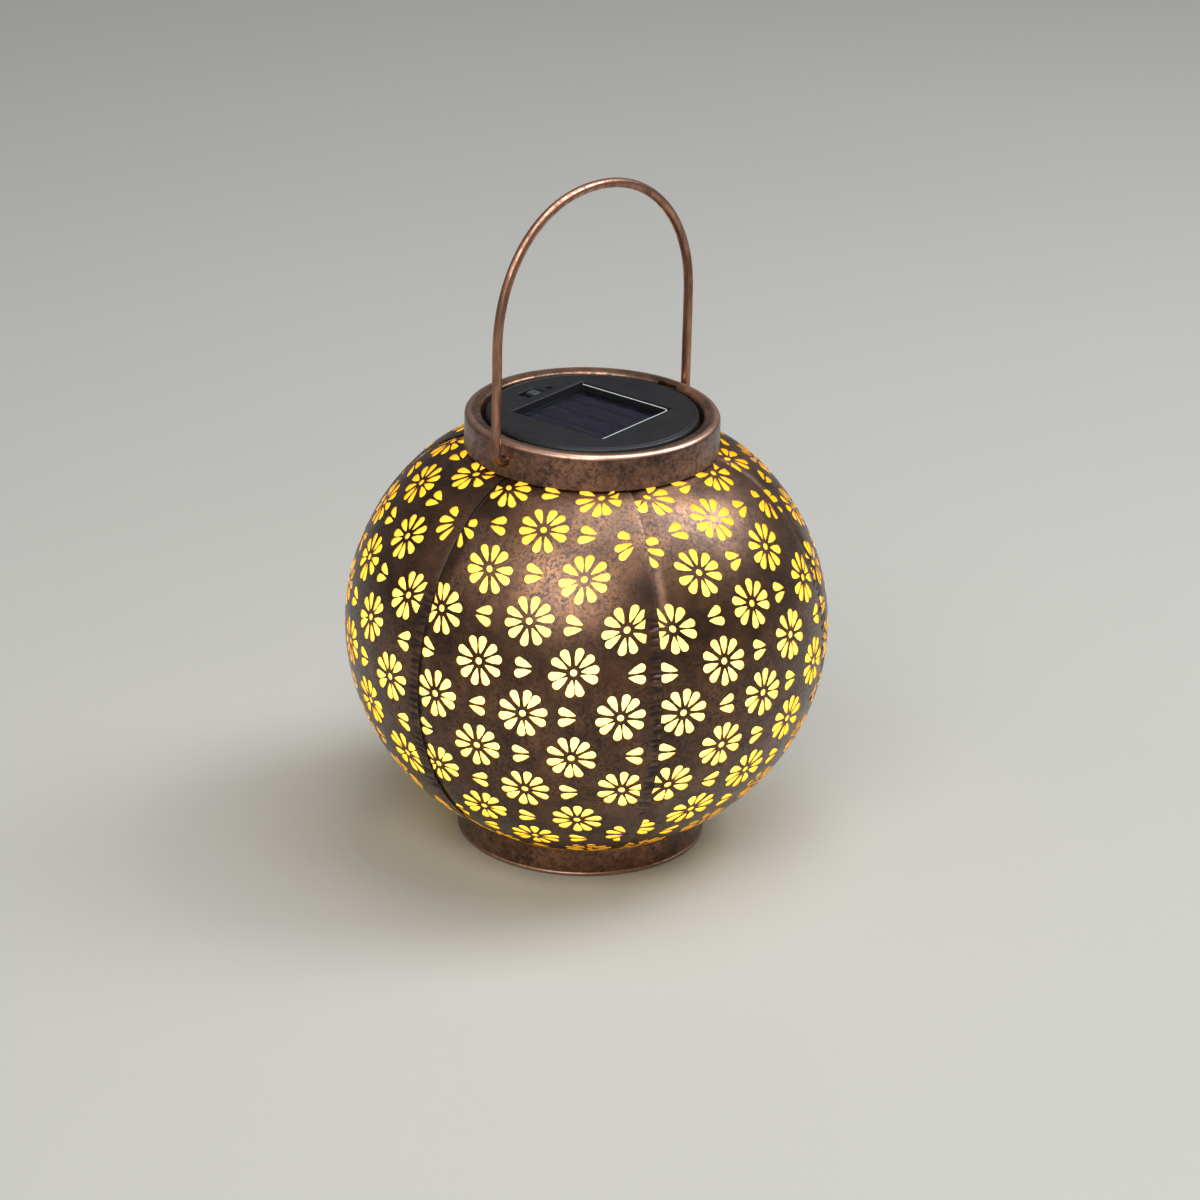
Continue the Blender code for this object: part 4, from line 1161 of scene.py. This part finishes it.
def smooth_twin(name, node, body, slot, material):
    """A CAD node's own shape with its round faces shaded smooth, in place of the faceted one."""
    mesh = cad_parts[node].data.copy()
    mesh.name = name
    mesh.materials.clear()
    mesh.materials.append(material)
    twin = bpy.data.objects.new(name, mesh)
    bpy.context.collection.objects.link(twin)
    return keep(clean(twin, 30.0), body, slot, node)


def dress_inner_nodes(copper, black):
    smooth_twin("base_plate", "bottom_plate", BODY, "aged_copper", copper)
    smooth_twin("moulded_housing", "battery_housing", MODULE, "black_plastic", black)
    smooth_twin("wrapped_cell", "battery_cell", MODULE, "battery_sleeve", shrink_sleeve("battery_sleeve"))
    dress(black, "battery_door", "driver_chip", "inductor", "switch_body")
    dress(moulded_plastic("panel_backing", (0.003, 0.003, 0.004), 0.6, 0.01), "panel_board")
    dress(moulded_plastic("seal_rubber", (0.018, 0.018, 0.018), 0.75), "sealing_ring")
    dress(printed_board("board_green"), "circuit_board")
    dress(solar_silicon("cell_silicon"), *[f"cell_strip_{index}" for index in range(1, 5)])
    dress(clear_resin("panel_face"), "panel_resin")
    steel = plated_metal("plated_steel")
    dress(steel, "contact_plate_negative", "contact_plate_positive", "contact_spring", "capacitor",
          *[f"housing_screw_{index}" for index in range(1, 4)])
    grey = moulded_plastic("switch_grey", (0.030, 0.036, 0.038), 0.45, 0.04)
    dress(grey, "switch_knob", "light_sensor")
    dress(moulded_plastic("red_lead", (0.42, 0.02, 0.015), 0.4), "panel_lead_positive",
          "battery_lead_positive", "switch_lead_on", "sensor_lead")
    dress(moulded_plastic("black_lead", (0.018, 0.018, 0.02), 0.4), "panel_lead_negative",
          "battery_lead_negative", "switch_lead_common")


# ---------------------------------------------------------------- the whole scene

def main():
    make_camera()
    make_world()
    make_floor()
    for light in LIGHTS:
        make_light(*light)
    copper = aged_copper("aged_copper", *GORE_COPPER)
    # Each ring's rim is lightened over these heights by wear and a painted highlight.
    collar_rim = (COLLAR_TOP_Z - 1.8 * MM, COLLAR_TOP_Z - 0.5 * MM)
    collar_copper = aged_copper("collar_copper", *RING_COPPER, collar_rim, RING_RADIUS - 3.4 * MM)
    foot_rim = (2.2 * MM, 0.6 * MM)
    foot_copper = aged_copper("foot_copper", *RING_COPPER, foot_rim, FOOT_RADIUS - 1.4 * MM)
    wire = worn_copper("bail_copper", *BAIL_COPPER)
    shadow = seam_shadow("seam_shadow")
    gore_materials = [copper, copper, punched_edge_painted_glow("punched_edge_painted_glow"), shadow]
    for index in range(GORE_COUNT):
        make_gore(index, gore_materials)
    make_film(amber_film_painted_glow("amber_film_painted_glow"))
    make_collar(collar_copper)
    make_foot(foot_copper)
    make_bail(wire)
    black = moulded_plastic("black_plastic", BLACK, 0.5, 0.02)
    make_cover(black)
    lamp = lamp_plastic("frosted_plastic")
    make_dome(lamp)
    dress(lamp, "led")
    # The painted highlight along two edges of the window.
    make_window_edge_highlight(moulded_plastic("window_edge_painted_highlight", (0.42, 0.43, 0.42), 0.3))
    dress_inner_nodes(copper, black)
    bpy.context.scene.view_settings.view_transform = "Standard"


main()
